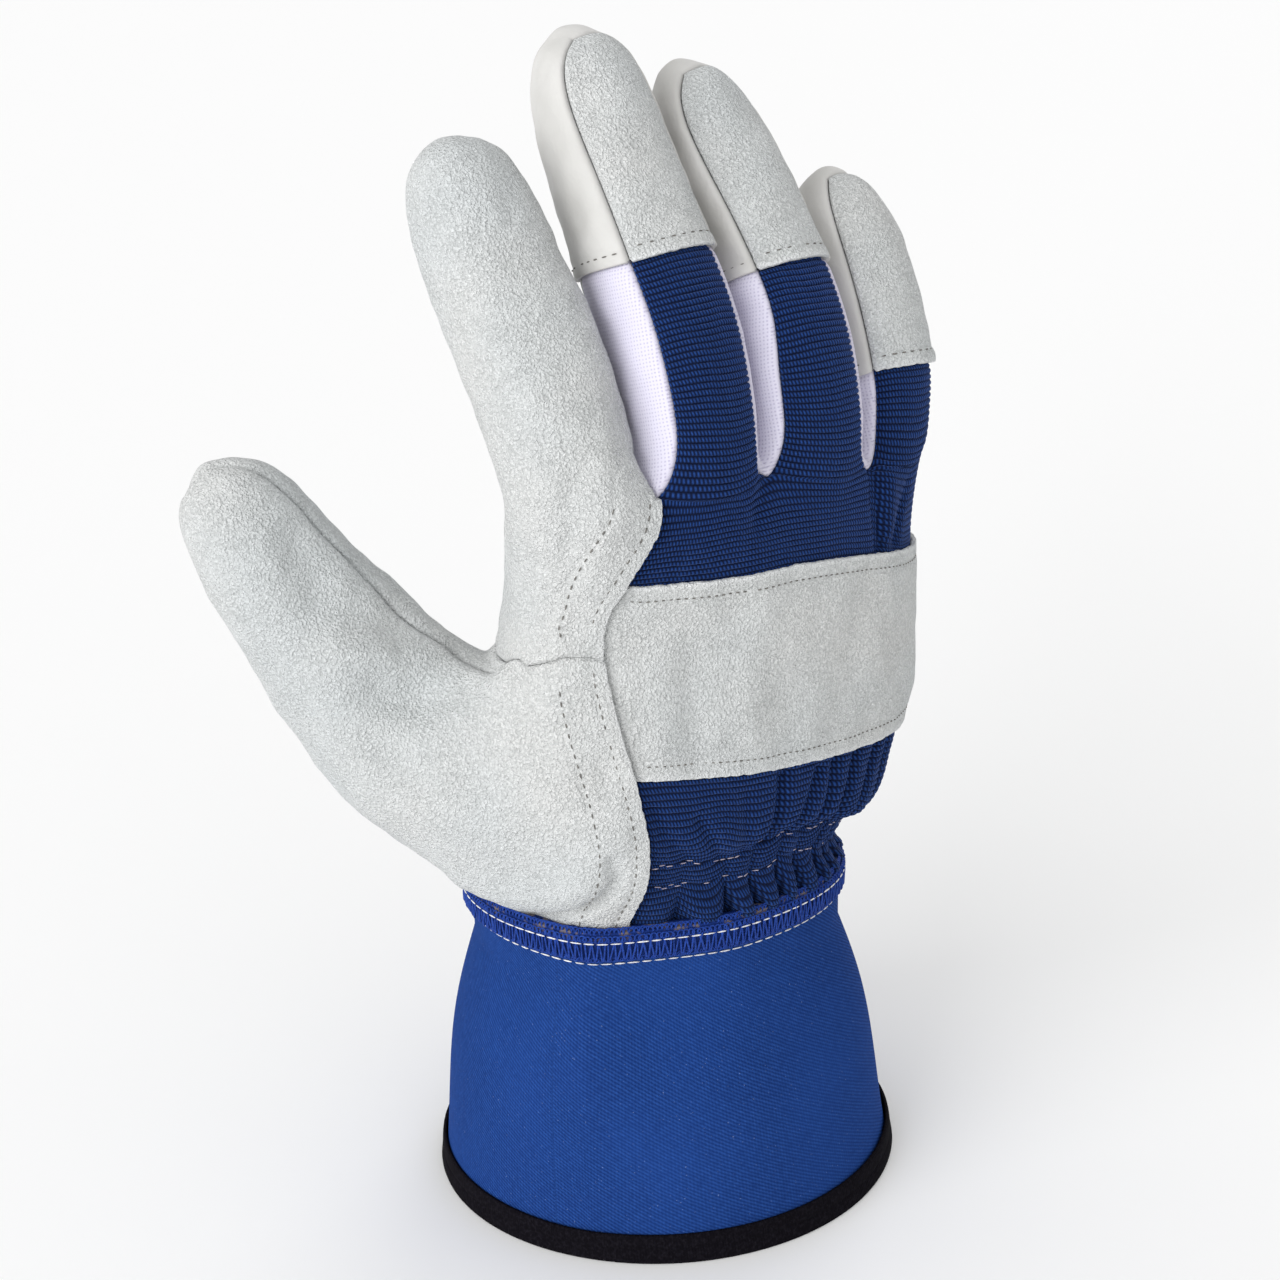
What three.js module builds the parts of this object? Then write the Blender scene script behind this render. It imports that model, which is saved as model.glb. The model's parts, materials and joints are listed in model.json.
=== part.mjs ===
// Rigger glove, right hand, filled out as if worn and standing on its open cuff.
// Millimetres. Origin: the centre of the cuff's hem. +Z runs from the hem to the fingertips,
// -Y is the back of the hand, +Y the palm, -X the thumb side, +X the little finger side.
//
// The hand is one closed skin, drawn as a coarse cage of quads and rounded by subdivision.
// Each panel is a patch of that skin, made into a wall with an outer face, an inner face and a rim.
import * as THREE from 'three';

// Driving dimensions
const LEATHER = 1.2; // hide
const KNIT = 1.2; // ribbed back
const FABRIC = 1.0; // knit between the fingers
const CANVAS = 1.7; // rubberised twill of the cuff
const PROUD = 0.45; // the hide's outer face above the skin
const SUNK = 0.45; // the knit's outer face below the skin
const STRAP_PROUD = 1.0; // the strap's outer face above the skin
const STRAP = 1.1; // the strap's thickness
const SEAM = 0.22; // each panel's edge stops this far from the seam line
const FOLD_SEAM = 8; // in a sharp fold the edges stop further off, by this many times SEAM
const FOLD_SINK = 1.2; // and the walls lie this much deeper
const GAP = 0.35; // clearance where one piece passes over another

const HEM_LONG = 49.0; // half widths of the oval hem
const HEM_SHORT = 43.8;
const HEM_TURN = -18; // degrees
const BINDING_HEIGHT = 6.5;
const BINDING_WALL = 0.8;
const OVERLOCK_HEIGHT = 6.2;
const CUFF_SWELL = [
  { share: 0, swell: 0 },
  { share: 0.35, swell: 1.5 },
  { share: 0.7, swell: 1.9 },
  { share: 1, swell: 0 },
];
const OVERLOCK_WALL = 0.9;

const PLEAT = 0.8; // depth of the gathers above the wrist
const SQUARENESS = 2.5; // exponent of the hand's section, 2 is an ellipse
const CORNER = 0.85; // finger section: corners and middles, as a share of the half width
const MIDDLE = 1.08;

const table = (names, rows) =>
  rows.map((row) => Object.fromEntries(names.split(' ').map((name, i) => [name, row[i]])));

// Sections of the hand from the wrist up. seam is where the thumb side's leather meets the knit.
const HAND = table('z x y halfWidth back front tiltX tiltY seam', [
  [56, -2.8, 1, 35.2, 29.3, 28.5, -0.04, -0.06, -33],
  [72, -2.8, 0.5, 35.2, 29.3, 28.5, -0.04, -0.06, -32],
  [79.5, -2.7, -1, 41.6, 30.5, 29.5, -0.06, -0.08, -30.5],
  [89, -0.5, -3.5, 46, 29, 28, -0.08, -0.06, -30.5],
  [100.4, 2, -5, 48.5, 27, 26, -0.12, -0.03, -33],
  [128, 4.1, -6.5, 48.3, 24.5, 21.5, -0.12, 0, -41],
  [141, 3.3, -8, 46.7, 23, 18.5, -0.11, 0, -36],
  [150.5, 3.8, -9, 46.8, 21, 16, -0.08, 0, -28],
  [158.5, 4.6, -10, 47.6, 19, 14, -0.05, 0, -22.5],
]);

// Columns round a section, as shares of its half width: nine on the back, nine on the front.
const BACK = [-0.92, -0.72, null, -0.25, -0.03, 0.235, 0.5, 0.73, 0.92];
const FRONT = [0.92, 0.73, 0.5, 0.235, -0.02, -0.25, -0.5, -0.72, -0.92];

// Local shaping: the web below the index finger sags, the strap's top edge dips, and the heel swells.
const SHAPING = table('row column down out', [
  [5, 0, 0.5, -0.5],
  [5, 1, -3, 0],
  [5, 2, -4, 0],
  [5, 19, 10, -2.5],
  [5, 18, 11, -1],
  [5, 17, 7, 0],
  [5, 16, 2, 0],
  [6, 19, 3.5, -2.5],
  [6, 18, 4, -1],
  [6, 17, 2.5, 0],
  [6, 0, 0, -2],
  [6, 2, -1.5, 0],
  [6, 3, -3.6, 0],
  [6, 4, -5.4, 0],
  [6, 5, -5.2, 0],
  [6, 6, -3.6, 0],
  [6, 7, -1.4, 0],
  [7, 2, 0, 1.4],
  [7, 3, -1, 0],
  [7, 4, -1.8, 0],
  [7, 5, -1.8, 0],
  [7, 6, -1, 0],
  [8, 0, 0, 1],
  [8, 19, 0, 1],
  [8, 2, -1, 1],
  [8, 4, -3.7, 1.8],
  [1, 19, 0, 1.6],
  [1, 18, 0, 1.2],
  [1, 0, 0, 0.6],
  [2, 19, 2.6, 5.4],
  [2, 18, 2.4, 4.6],
  [2, 0, 1.6, 2.4],
  [2, 17, 1.5, 2],
]);

// Sections up each finger. cap is the station where the tip's leather begins.
const FINGERS = {
  index: { cap: 0, stations: table('x y z width depth', [
    [-31.7, -7.3, 168, 23.4, 24.8],
    [-31.2, -1.8, 177, 24.8, 25.8],
    [-32.4, 4.6, 188, 24.8, 25.3],
    [-33.9, 11, 199, 23.8, 23.5],
    [-35.3, 15.6, 209, 22.8, 22.3],
    [-36.7, 18.5, 217, 19.2, 19.2],
    [-37.1, 19.6, 221.5, 11, 11],
  ]) },
  middle: { cap: 4, stations: table('x y z width depth', [
    [-7.4, -15.5, 169, 23.6, 25.6],
    [-7, -11.8, 179, 24.4, 26],
    [-6.5, -7, 188, 25, 26],
    [-6.8, -1.7, 196.8, 24.4, 25],
    [-7.1, 7.8, 212, 23.4, 23.1],
    [-7.8, 15.3, 227, 22.3, 21.5],
    [-8.1, 19, 235, 17.2, 17.2],
    [-8.7, 20.9, 239, 9, 9],
  ]) },
  ring: { cap: 4, stations: table('x y z width depth', [
    [17.5, -17.7, 168, 24.2, 26],
    [17.7, -14.7, 176, 24.4, 26],
    [18.3, -11.2, 184, 23.5, 25.5],
    [18.7, -6.4, 191.5, 23, 24.5],
    [18.6, 2.9, 205, 22.4, 23.5],
    [17.2, 10.8, 218.5, 20.6, 21],
    [15.7, 15.2, 226.5, 15.6, 15.6],
    [14.8, 17.3, 230.8, 8, 8],
  ]) },
  pinky: { cap: 3, stations: table('x y z width depth', [
    [40.3, -15.7, 161, 20, 21.5],
    [40.7, -15, 166, 20, 21.6],
    [41.4, -14.2, 171, 21, 22],
    [42.2, -8.4, 184.5, 21.8, 22.1],
    [42.1, -2.1, 196, 20.2, 20.6],
    [41.8, 1.8, 204, 16.2, 16.2],
    [41.9, 3.2, 208.3, 7, 7],
  ]) },
};

// Where a finger's seams leave the section's corners. Corners count from the back left one round
// by the right side. across and out stand for the corner's place, lift moves it up the finger.
const SEAMS = table('finger station corner across out lift', [
  ['middle', 0, 0, -0.97, -0.78, 0],
  ['middle', 1, 0, -0.97, -0.78, 0],
  ['middle', 2, 0, -0.95, -0.8, 0],
  ['middle', 3, 0, -0.98, -0.78, 0],
  ['middle', 3, 7, -1.08, 0, 3],
  ['middle', 3, 6, -0.85, 0.85, 5],
  ['middle', 4, 0, -0.97, -0.76, 0],
  ['middle', 5, 0, -1.06, -0.5, 0],
  ['middle', 6, 0, -0.98, -0.62, 0],
  ['middle', 5, 2, 1.06, -0.5, 0],
  ['middle', 6, 2, 0.98, -0.62, 0],
  ['middle', 7, 0, -0.15, -1.05, -2],
  ['middle', 7, 1, 0.35, -1.1, -2.5],
  ['middle', 7, 2, 0.8, -0.8, -2.5],
  ['ring', 0, 0, -1.02, -0.74, 0],
  ['ring', 1, 0, -1, -0.76, 0],
  ['ring', 3, 7, -1.08, 0, 1.5],
  ['ring', 3, 6, -0.85, 0.85, 2.5],
  ['ring', 4, 0, -0.97, -0.76, 0],
  ['ring', 5, 0, -1.06, -0.5, 0],
  ['ring', 6, 0, -0.98, -0.62, 0],
  ['ring', 5, 2, 1.06, -0.5, 0],
  ['ring', 6, 2, 0.98, -0.62, 0],
  ['ring', 7, 0, -0.15, -1.05, -2],
  ['ring', 7, 1, 0.35, -1.1, -2.5],
  ['ring', 7, 2, 0.8, -0.8, -2.5],
  ['pinky', 6, 0, -0.5, -0.95, 0],
  ['pinky', 6, 2, 0.5, -0.95, 0],
  ['pinky', 2, 7, -1.08, 0, -3],
  ['pinky', 2, 6, -0.85, 0.85, -3],
]);

// The thumb's sections lie in the plane of its spread, SPREAD degrees from X.
const SPREAD = -38;
const THUMB = table('along across z height depth', [
  [-49.6, -14, 103.7, 42.5, 38],
  [-59.5, -14, 115.6, 36, 34],
  [-69, -14, 129, 30.2, 29],
  [-77, -13, 140, 27.5, 27],
  [-83.5, -12, 149.5, 25, 24],
  [-87.3, -11.5, 155.5, 19.5, 19],
  [-89.2, -11.2, 158.5, 10.5, 11],
]);
const THUMB_FROM = 2; // hand rows between which the thumb opens
const THUMB_TO = 5;
const STRAP_FROM = 4; // hand rows between which the knuckle strap lies
const STRAP_TO = 6;

const rad = THREE.MathUtils.degToRad;
const vec = (x, y, z) => new THREE.Vector3(x, y, z);
const ALONG = vec(Math.cos(rad(SPREAD)), Math.sin(rad(SPREAD)), 0);
const ACROSS = vec(-Math.sin(rad(SPREAD)), Math.cos(rad(SPREAD)), 0);

function mean(points) {
  return points.reduce((sum, p) => sum.add(p), vec(0, 0, 0)).divideScalar(points.length);
}

// Direction of travel at each station of a limb, from the centre of its root.
function travel(root, centres) {
  const line = [root, ...centres];
  return centres.map((_, i) => line[Math.min(i + 2, line.length - 1)].clone().sub(line[i]).normalize());
}

// The hand's cage: points, and quads named after the panel they belong to.
function handCage() {
  const points = [];
  const quads = [];
  const add = (point) => points.push(point) - 1;
  const quad = (panel, ...corners) => quads.push({ panel, corners });
  const curve = (t) => (1 - Math.abs(t) ** SQUARENESS) ** (1 / SQUARENESS);

  const rows = HAND.map((s, k) => {
    const knuckles = k - HAND.length + 3; // 1 and 2 on the two rows next to the fingers
    const ripple = (column) => (knuckles < 1 ? 0 : (column % 2 ? -1.05 : 1.25) * (knuckles === 2 ? 2 : 0.8));
    const point = (dx, dy) => vec(s.x + dx, s.y + dy, s.z + s.tiltX * dx + s.tiltY * dy);
    const seam = (s.seam - s.x) / s.halfWidth;
    const first = Math.min(BACK[0], seam - 0.05);
    const back = [first, (first + seam) / 2, seam, ...BACK.slice(3)];
    const ring = [
      ...back.map((t, j) => point(t * s.halfWidth * 1.03,
        -s.back * MIDDLE * curve(t) + (j > 0 && j < 8 ? ripple(j) : 0))),
      point(s.halfWidth * 1.06, 0),
      ...FRONT.map((t, j) => point(t * s.halfWidth * 1.03,
        s.front * MIDDLE * curve(t) - (j > 0 && j < 8 ? ripple(j) : 0))),
      point(-s.halfWidth * 1.06, 0),
    ];
    for (const shape of SHAPING.filter((entry) => entry.row === k)) {
      ring[shape.column].z -= shape.down;
      ring[shape.column].addScaledVector(ALONG, -shape.out);
    }
    return ring.map(add);
  });

  for (let k = 0; k < rows.length - 1; k += 1) {
    for (let j = 0; j < 20; j += 1) {
      if (k >= THUMB_FROM && k < THUMB_TO && j >= 17) continue;
      let panel = k >= THUMB_TO ? 'index_leather' : 'thumb_leather';
      if (j >= 2 && j <= 8) panel = k >= STRAP_FROM && k < STRAP_TO ? 'knuckle_strap' : 'back_knit';
      if (j >= 9 && j <= 17) panel = 'palm_leather';
      const next = (j + 1) % 20;
      quad(panel, rows[k][j], rows[k][next], rows[k + 1][next], rows[k + 1][j]);
    }
  }

  // Fingers: each root is a ring of eight, sharing the middle of the crotch with its neighbour.
  const top = rows[rows.length - 1];
  const crotch = [[2, 16], [4, 14], [6, 12]].map(([back, front]) => {
    const middle = mean([points[top[back]], points[top[front]]]);
    middle.z += 2;
    return add(middle);
  });
  const roots = {
    index: [top[0], top[1], top[2], crotch[0], top[16], top[17], top[18], top[19]],
    middle: [top[2], top[3], top[4], crotch[1], top[14], top[15], top[16], crotch[0]],
    ring: [top[4], top[5], top[6], crotch[2], top[12], top[13], top[14], crotch[1]],
    pinky: [top[6], top[7], top[8], top[9], top[10], top[11], top[12], crotch[2]],
  };
  const section = [[-1, -1], [0, -1], [1, -1], [1, 0], [1, 1], [0, 1], [-1, 1], [-1, 0]];
  for (const [name, { cap, stations }] of Object.entries(FINGERS)) {
    const centres = stations.map((s) => vec(s.x, s.y, s.z));
    const directions = travel(mean(roots[name].map((i) => points[i])), centres);
    const panelAt = (side, i) => {
      if (side === 4 || side === 5) return 'palm_leather';
      if (name === 'index') return 'index_leather';
      const back = i >= cap ? `cap_${name}` : 'back_knit';
      if (side < 2) return back;
      if (name === 'pinky' && side === 2) return back;
      if (name === 'pinky' && side === 3) return 'palm_leather';
      if (i >= cap) return `gusset_${name}`;
      if (side > 5) {
        return { middle: 'fork_index_middle', ring: 'fork_middle_ring', pinky: 'fork_ring_pinky' }[name];
      }
      return { middle: 'fork_middle_ring', ring: 'fork_ring_pinky' }[name];
    };
    let previous = roots[name];
    stations.forEach((s, i) => {
      const sideways = vec(1, 0, 0).addScaledVector(directions[i], -directions[i].x).normalize();
      const outward = directions[i].clone().cross(sideways);
      const ring = section.map(([u, v], corner) => {
        const share = u && v ? CORNER : MIDDLE;
        const seam = SEAMS.find((row) => row.finger === name && row.station === i && row.corner === corner)
          ?? { across: u * share, out: v * share, lift: 0 };
        return add(centres[i].clone()
          .addScaledVector(sideways, seam.across * s.width / 2)
          .addScaledVector(outward, seam.out * s.depth / 2)
          .addScaledVector(directions[i], seam.lift));
      });
      ring.forEach((corner, side) => {
        const next = (side + 1) % 8;
        quad(panelAt(side, i), previous[side], previous[next], ring[next], corner);
      });
      previous = ring;
    });
    const end = centres[centres.length - 1];
    const ahead = end.clone().sub(centres[centres.length - 2]).normalize();
    const tip = add(end.clone().addScaledVector(ahead, 2.5));
    const panel = name === 'index' ? 'index_leather' : `gusset_${name}`;
    const [bl, b, br, r, fr, f, fl, l] = previous;
    quad(panel, bl, b, tip, l);
    quad(panel, b, br, r, tip);
    quad(panel, tip, r, fr, f);
    quad(panel, l, tip, f, fl);
  }

  // Thumb: a ring of twelve round the opening left in the hand.
  const low = rows[THUMB_FROM];
  const high = rows[THUMB_TO];
  let previous = [high[0], high[19], high[18], high[17], rows[4][17], rows[3][17],
    low[17], low[18], low[19], low[0], rows[3][0], rows[4][0]];
  const centres = THUMB.map((s) => ALONG.clone().multiplyScalar(s.along).addScaledVector(ACROSS, s.across)
    .add(vec(0, 0, s.z)));
  const directions = travel(mean(previous.map((i) => points[i])), centres);
  THUMB.forEach((s, i) => {
    const palmward = ACROSS.clone().addScaledVector(directions[i], -directions[i].dot(ACROSS)).normalize();
    const upward = palmward.clone().cross(directions[i]);
    if (upward.z < 0) upward.negate();
    const ring = previous.map((_, k) => {
      const angle = rad(135 - 30 * k);
      return add(centres[i].clone()
        .addScaledVector(palmward, (s.depth / 2) * 1.047 * Math.cos(angle))
        .addScaledVector(upward, (s.height / 2) * 1.047 * Math.sin(angle)));
    });
    ring.forEach((corner, k) => {
      const next = (k + 1) % 12;
      quad(k > 0 && k < 7 ? 'thumb_inner' : 'thumb_leather', previous[k], previous[next], ring[next], corner);
    });
    previous = ring;
  });
  const nail = directions[directions.length - 1];
  const patch = [
    [previous[0], previous[1], previous[2], previous[3]],
    [previous[11], 0, 0, previous[4]],
    [previous[10], 0, 0, previous[5]],
    [previous[9], previous[8], previous[7], previous[6]],
  ];
  for (const v of [1, 2]) {
    for (const u of [1, 2]) {
      const point = (a, b) => points[patch[a][b]].clone();
      const vertical = point(0, u).lerp(point(3, u), v / 3);
      const level = point(v, 0).lerp(point(v, 3), u / 3);
      patch[v][u] = add(vertical.lerp(level, 0.5).addScaledVector(nail, 2));
    }
  }
  for (let v = 0; v < 3; v += 1) {
    for (let u = 0; u < 3; u += 1) {
      const piece = u ? 'thumb_inner' : 'thumb_leather';
      quad(piece, patch[v][u], patch[v][u + 1], patch[v + 1][u + 1], patch[v + 1][u]);
    }
  }
  return { points, quads };
}

const edgeKey = (a, b) => (a < b ? `${a},${b}` : `${b},${a}`);
const sides = (corners) => corners.map((a, i) => [a, corners[(i + 1) % corners.length]]);

// One round of Catmull-Clark subdivision. Old points keep their places in the list.
function subdivide({ points, quads }) {
  const centres = quads.map((q) => mean(q.corners.map((i) => points[i])));
  const edges = new Map();
  quads.forEach((q, face) => {
    for (const [a, b] of sides(q.corners)) {
      const key = edgeKey(a, b);
      if (!edges.has(key)) edges.set(key, { a, b, faces: [] });
      edges.get(key).faces.push(face);
    }
  });
  const around = points.map(() => ({ faces: [], mids: [], open: [] }));
  quads.forEach((q, face) => q.corners.forEach((i) => around[i].faces.push(centres[face])));
  let index = points.length;
  const edgePoints = [];
  for (const edge of edges.values()) {
    const middle = mean([points[edge.a], points[edge.b]]);
    const open = edge.faces.length === 1;
    for (const i of [edge.a, edge.b]) {
      around[i].mids.push(middle);
      if (open) around[i].open.push(middle);
    }
    const beside = mean(edge.faces.map((f) => centres[f]));
    edgePoints.push(open ? middle : middle.clone().add(beside).multiplyScalar(0.5));
    edge.index = index;
    index += 1;
  }
  const moved = points.map((point, i) => {
    const { faces, mids, open } = around[i];
    if (open.length) return mean(open).add(point).multiplyScalar(0.5);
    const n = faces.length || 1;
    if (!faces.length) return point.clone();
    return mean(faces).addScaledVector(mean(mids), 2).addScaledVector(point, n - 3).divideScalar(n);
  });
  const finer = [];
  quads.forEach((q, face) => {
    q.corners.forEach((corner, i) => {
      const after = q.corners[(i + 1) % 4];
      const before = q.corners[(i + 3) % 4];
      finer.push({
        panel: q.panel,
        corners: [corner, edges.get(edgeKey(corner, after)).index, index + face,
          edges.get(edgeKey(corner, before)).index],
      });
    });
  });
  return { points: [...moved, ...edgePoints, ...centres], quads: finer };
}

function faceNormal(points, corners) {
  const [a, b, c, d] = corners.map((i) => points[i]);
  return c.clone().sub(a).cross(d.clone().sub(b));
}

function normalsOf(points, quads) {
  const normals = points.map(() => vec(0, 0, 0));
  for (const { corners } of quads) {
    const normal = faceNormal(points, corners);
    corners.forEach((i) => normals[i].add(normal));
  }
  return normals.map((normal) => normal.normalize());
}

// How sharply the skin folds at each point: 0 where it is flat, towards 1 in the crotches.
function foldsOf(points, quads, normals) {
  const folds = points.map(() => 0);
  for (const { corners } of quads) {
    const normal = faceNormal(points, corners).normalize();
    corners.forEach((i) => {
      folds[i] = Math.max(folds[i], 1 - normal.dot(normals[i]));
    });
  }
  return folds;
}

// The skin: faces from one round of subdivision, with points where three rounds leave them.
function handSkin() {
  const once = subdivide(handCage());
  let settled = once;
  for (let round = 0; round < 2; round += 1) settled = subdivide(settled);
  const points = once.points.map((_, i) => settled.points[i].clone());
  const normals = normalsOf(points, once.quads);
  return { points, quads: once.quads, normals, folds: foldsOf(points, once.quads, normals) };
}

// Columns of skin points that rise from the open wrist, one for each point of its edge.
function wristColumns({ quads }, count) {
  const edges = new Map();
  for (const { corners } of quads) {
    for (const [a, b] of sides(corners)) {
      edges.set(edgeKey(a, b), [...(edges.get(edgeKey(a, b)) ?? []), corners]);
    }
  }
  const step = new Map();
  for (const { corners } of quads) {
    for (const [a, b] of sides(corners)) if (edges.get(edgeKey(a, b)).length === 1) step.set(a, b);
  }
  const loop = [[...step.keys()].sort((a, b) => a - b)[0]];
  while (step.get(loop[loop.length - 1]) !== loop[0]) loop.push(step.get(loop[loop.length - 1]));
  const neighbours = (i) => [...new Set(quads.filter((q) => q.corners.includes(i))
    .flatMap((q) => sides(q.corners)).filter((s) => s.includes(i)).flat().filter((n) => n !== i))];
  const share = (a, b) => quads.some((q) => q.corners.includes(a) && q.corners.includes(b));
  return loop.map((start) => {
    const column = [start];
    let before = null;
    while (column.length < count) {
      const here = column[column.length - 1];
      const options = neighbours(here).filter((n) => !column.includes(n) && !loop.includes(n));
      column.push(before === null ? options[0] : options.find((n) => !share(before, n)));
      before = here;
    }
    return column;
  });
}

function solid(name, positions, triangles, look) {
  const geometry = new THREE.BufferGeometry();
  const flat = positions.flatMap((p) => [p.x, p.y, p.z]);
  geometry.setAttribute('position', new THREE.Float32BufferAttribute(flat, 3));
  geometry.setIndex(triangles);
  geometry.computeVertexNormals();
  const { color, roughness } = look;
  const material = new THREE.MeshStandardMaterial({ color, roughness, metalness: 0 });
  const mesh = new THREE.Mesh(geometry, material);
  mesh.name = name;
  return mesh;
}

// A panel's wall between two heights over the skin, held back from its seams by SEAM.
function panelWall(name, skin, faces, outer, thickness, look, shape = () => 0) {
  const used = [...new Set(faces.flatMap((q) => q.corners))];
  const slot = new Map(used.map((point, i) => [point, i]));
  const counts = new Map();
  for (const q of faces) {
    for (const [a, b] of sides(q.corners)) {
      counts.set(edgeKey(a, b), (counts.get(edgeKey(a, b)) ?? 0) + 1);
    }
  }
  const rim = [];
  const inward = used.map(() => []);
  for (const q of faces) {
    const centre = mean(q.corners.map((i) => skin.points[i]));
    for (const [a, b] of sides(q.corners)) {
      if (counts.get(edgeKey(a, b)) > 1) continue;
      rim.push([a, b]);
      const run = skin.points[b].clone().sub(skin.points[a]).normalize();
      const pull = centre.clone().sub(skin.points[a]);
      pull.addScaledVector(run, -pull.dot(run)).normalize();
      for (const i of [a, b]) inward[slot.get(i)].push(pull);
    }
  }
  const place = (i, height) => {
    const point = skin.points[i].clone();
    const pulls = inward[slot.get(i)];
    if (pulls.length) {
      const pull = mean(pulls);
      const hold = SEAM * (1 + FOLD_SEAM * skin.folds[i]);
      point.addScaledVector(pull, hold / Math.max(0.35, pull.lengthSq()));
    }
    return point.addScaledVector(skin.normals[i], height - FOLD_SINK * skin.folds[i] + shape(i));
  };
  const positions = [...used.map((i) => place(i, outer)), ...used.map((i) => place(i, outer - thickness))];
  const triangles = [];
  const under = used.length;
  for (const q of faces) {
    const [a, b, c, d] = q.corners.map((i) => slot.get(i));
    triangles.push(a, b, c, a, c, d);
    triangles.push(a + under, c + under, b + under, a + under, d + under, c + under);
  }
  for (const edge of rim) {
    const [a, b] = edge.map((i) => slot.get(i));
    triangles.push(b, a, a + under, b, a + under, b + under);
  }
  return solid(name, positions, triangles, look);
}

// A closed ring swept round a loop. section(j) gives the loop's cross-section at column j.
function ringWall(name, count, section, look) {
  const loops = Array.from({ length: count }, (_, j) => section(j));
  const size = loops[0].length;
  const triangles = [];
  for (let j = 0; j < count; j += 1) {
    const next = (j + 1) % count;
    for (let i = 0; i < size; i += 1) {
      const after = (i + 1) % size;
      const [a, b, c, d] = [j * size + i, next * size + i, next * size + after, j * size + after];
      triangles.push(a, b, c, a, c, d);
    }
  }
  return solid(name, loops.flat(), triangles, look);
}

const LOOKS = {
  suede: { color: '#d5d6cc', roughness: 0.95 },
  grain: { color: '#e9e4d8', roughness: 0.6 },
  knit: { color: '#1c3c96', roughness: 0.9 },
  fork: { color: '#e4e2f2', roughness: 0.9 },
  canvas: { color: '#3d68c4', roughness: 0.8 },
  overlock: { color: '#3059ad', roughness: 0.9 },
  binding: { color: '#26282c', roughness: 0.85 },
};

const skin = handSkin();
const panels = Map.groupBy(skin.quads, (q) => q.panel);
const columns = wristColumns(skin, 7);

// Gathers: every other column of the knit dips between the cuff and the strap.
const dips = new Map();
columns.forEach((column, j) => column.forEach((i, k) => {
  dips.set(i, j % 2 && k > 1 ? -PLEAT * Math.min(1, (7 - k) / 2) : 0);
}));
const gathers = (i) => dips.get(i) ?? 0;

const glove = new THREE.Group();
const SUEDE = [
  'palm_leather',
  'index_leather',
  'thumb_leather',
  'thumb_inner',
  'cap_middle',
  'cap_ring',
  'cap_pinky',
];
for (const name of SUEDE) {
  glove.add(panelWall(name, skin, panels.get(name), PROUD, LEATHER, LOOKS.suede));
}
for (const name of ['gusset_middle', 'gusset_ring', 'gusset_pinky']) {
  glove.add(panelWall(name, skin, panels.get(name), PROUD, LEATHER, LOOKS.grain));
}
for (const name of ['fork_index_middle', 'fork_middle_ring', 'fork_ring_pinky']) {
  glove.add(panelWall(name, skin, panels.get(name), 0, FABRIC, LOOKS.fork));
}
const strap = panels.get('knuckle_strap');
const underStrap = [...panels.get('back_knit'), ...strap];
glove.add(panelWall('back_knit', skin, underStrap, -SUNK, KNIT, LOOKS.knit, gathers));
glove.add(panelWall('knuckle_strap', skin, strap, STRAP_PROUD, STRAP, LOOKS.suede));

// Cuff: clear of the hand's outer face at the wrist, opening out to the oval hem.
const over = PROUD + GAP + 0.1; // height of the cuff's inner face over the skin
const wristPoint = (j, k, height) => {
  const i = columns[j][k];
  return skin.points[i].clone().addScaledVector(skin.normals[i].clone().setZ(0).normalize(), height);
};
const hemPoint = (j, z, height) => {
  const foot = skin.points[columns[j][0]].clone().sub(vec(HAND[0].x, HAND[0].y, 0)).setZ(0).normalize();
  const turned = foot.applyAxisAngle(vec(0, 0, 1), -rad(HEM_TURN));
  const reach = 1 / Math.hypot(turned.x / (HEM_LONG + height), turned.y / (HEM_SHORT + height));
  return turned.multiplyScalar(reach).applyAxisAngle(vec(0, 0, 1), rad(HEM_TURN)).setZ(z);
};
// How far the cuff swells out between its hem, share 0, and the end of the hand's tube, share 1.
const swellAt = (share) => {
  const next = Math.max(1, CUFF_SWELL.findIndex((row) => row.share >= share));
  const [low, high] = [CUFF_SWELL[next - 1], CUFF_SWELL[next]];
  return low.swell + (high.swell - low.swell) * Math.max(0, share - low.share) / (high.share - low.share);
};
// A point of the cuff, from the hem's height z up to the end of the hand's tube.
const cuffPoint = (j, share, height, z) => {
  const wrist = wristPoint(j, 0, over + height);
  const swollen = wristPoint(j, 0, swellAt(share)).sub(wristPoint(j, 0, 0));
  return hemPoint(j, z, height - CANVAS).lerp(wrist, share).add(swollen).setZ(z + (wrist.z - z) * share);
};
const hemFloor = BINDING_WALL + GAP;
glove.add(ringWall('cuff', columns.length, (j) => [
  cuffPoint(j, 0, CANVAS, hemFloor),
  cuffPoint(j, 0.35, CANVAS, hemFloor),
  cuffPoint(j, 0.7, CANVAS, hemFloor),
  wristPoint(j, 0, over + CANVAS),
  wristPoint(j, 2, over + CANVAS),
  wristPoint(j, 2, over),
  wristPoint(j, 0, over),
  cuffPoint(j, 0.7, 0, hemFloor),
  cuffPoint(j, 0.35, 0, hemFloor),
  cuffPoint(j, 0, 0, hemFloor),
], LOOKS.canvas));

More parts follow.
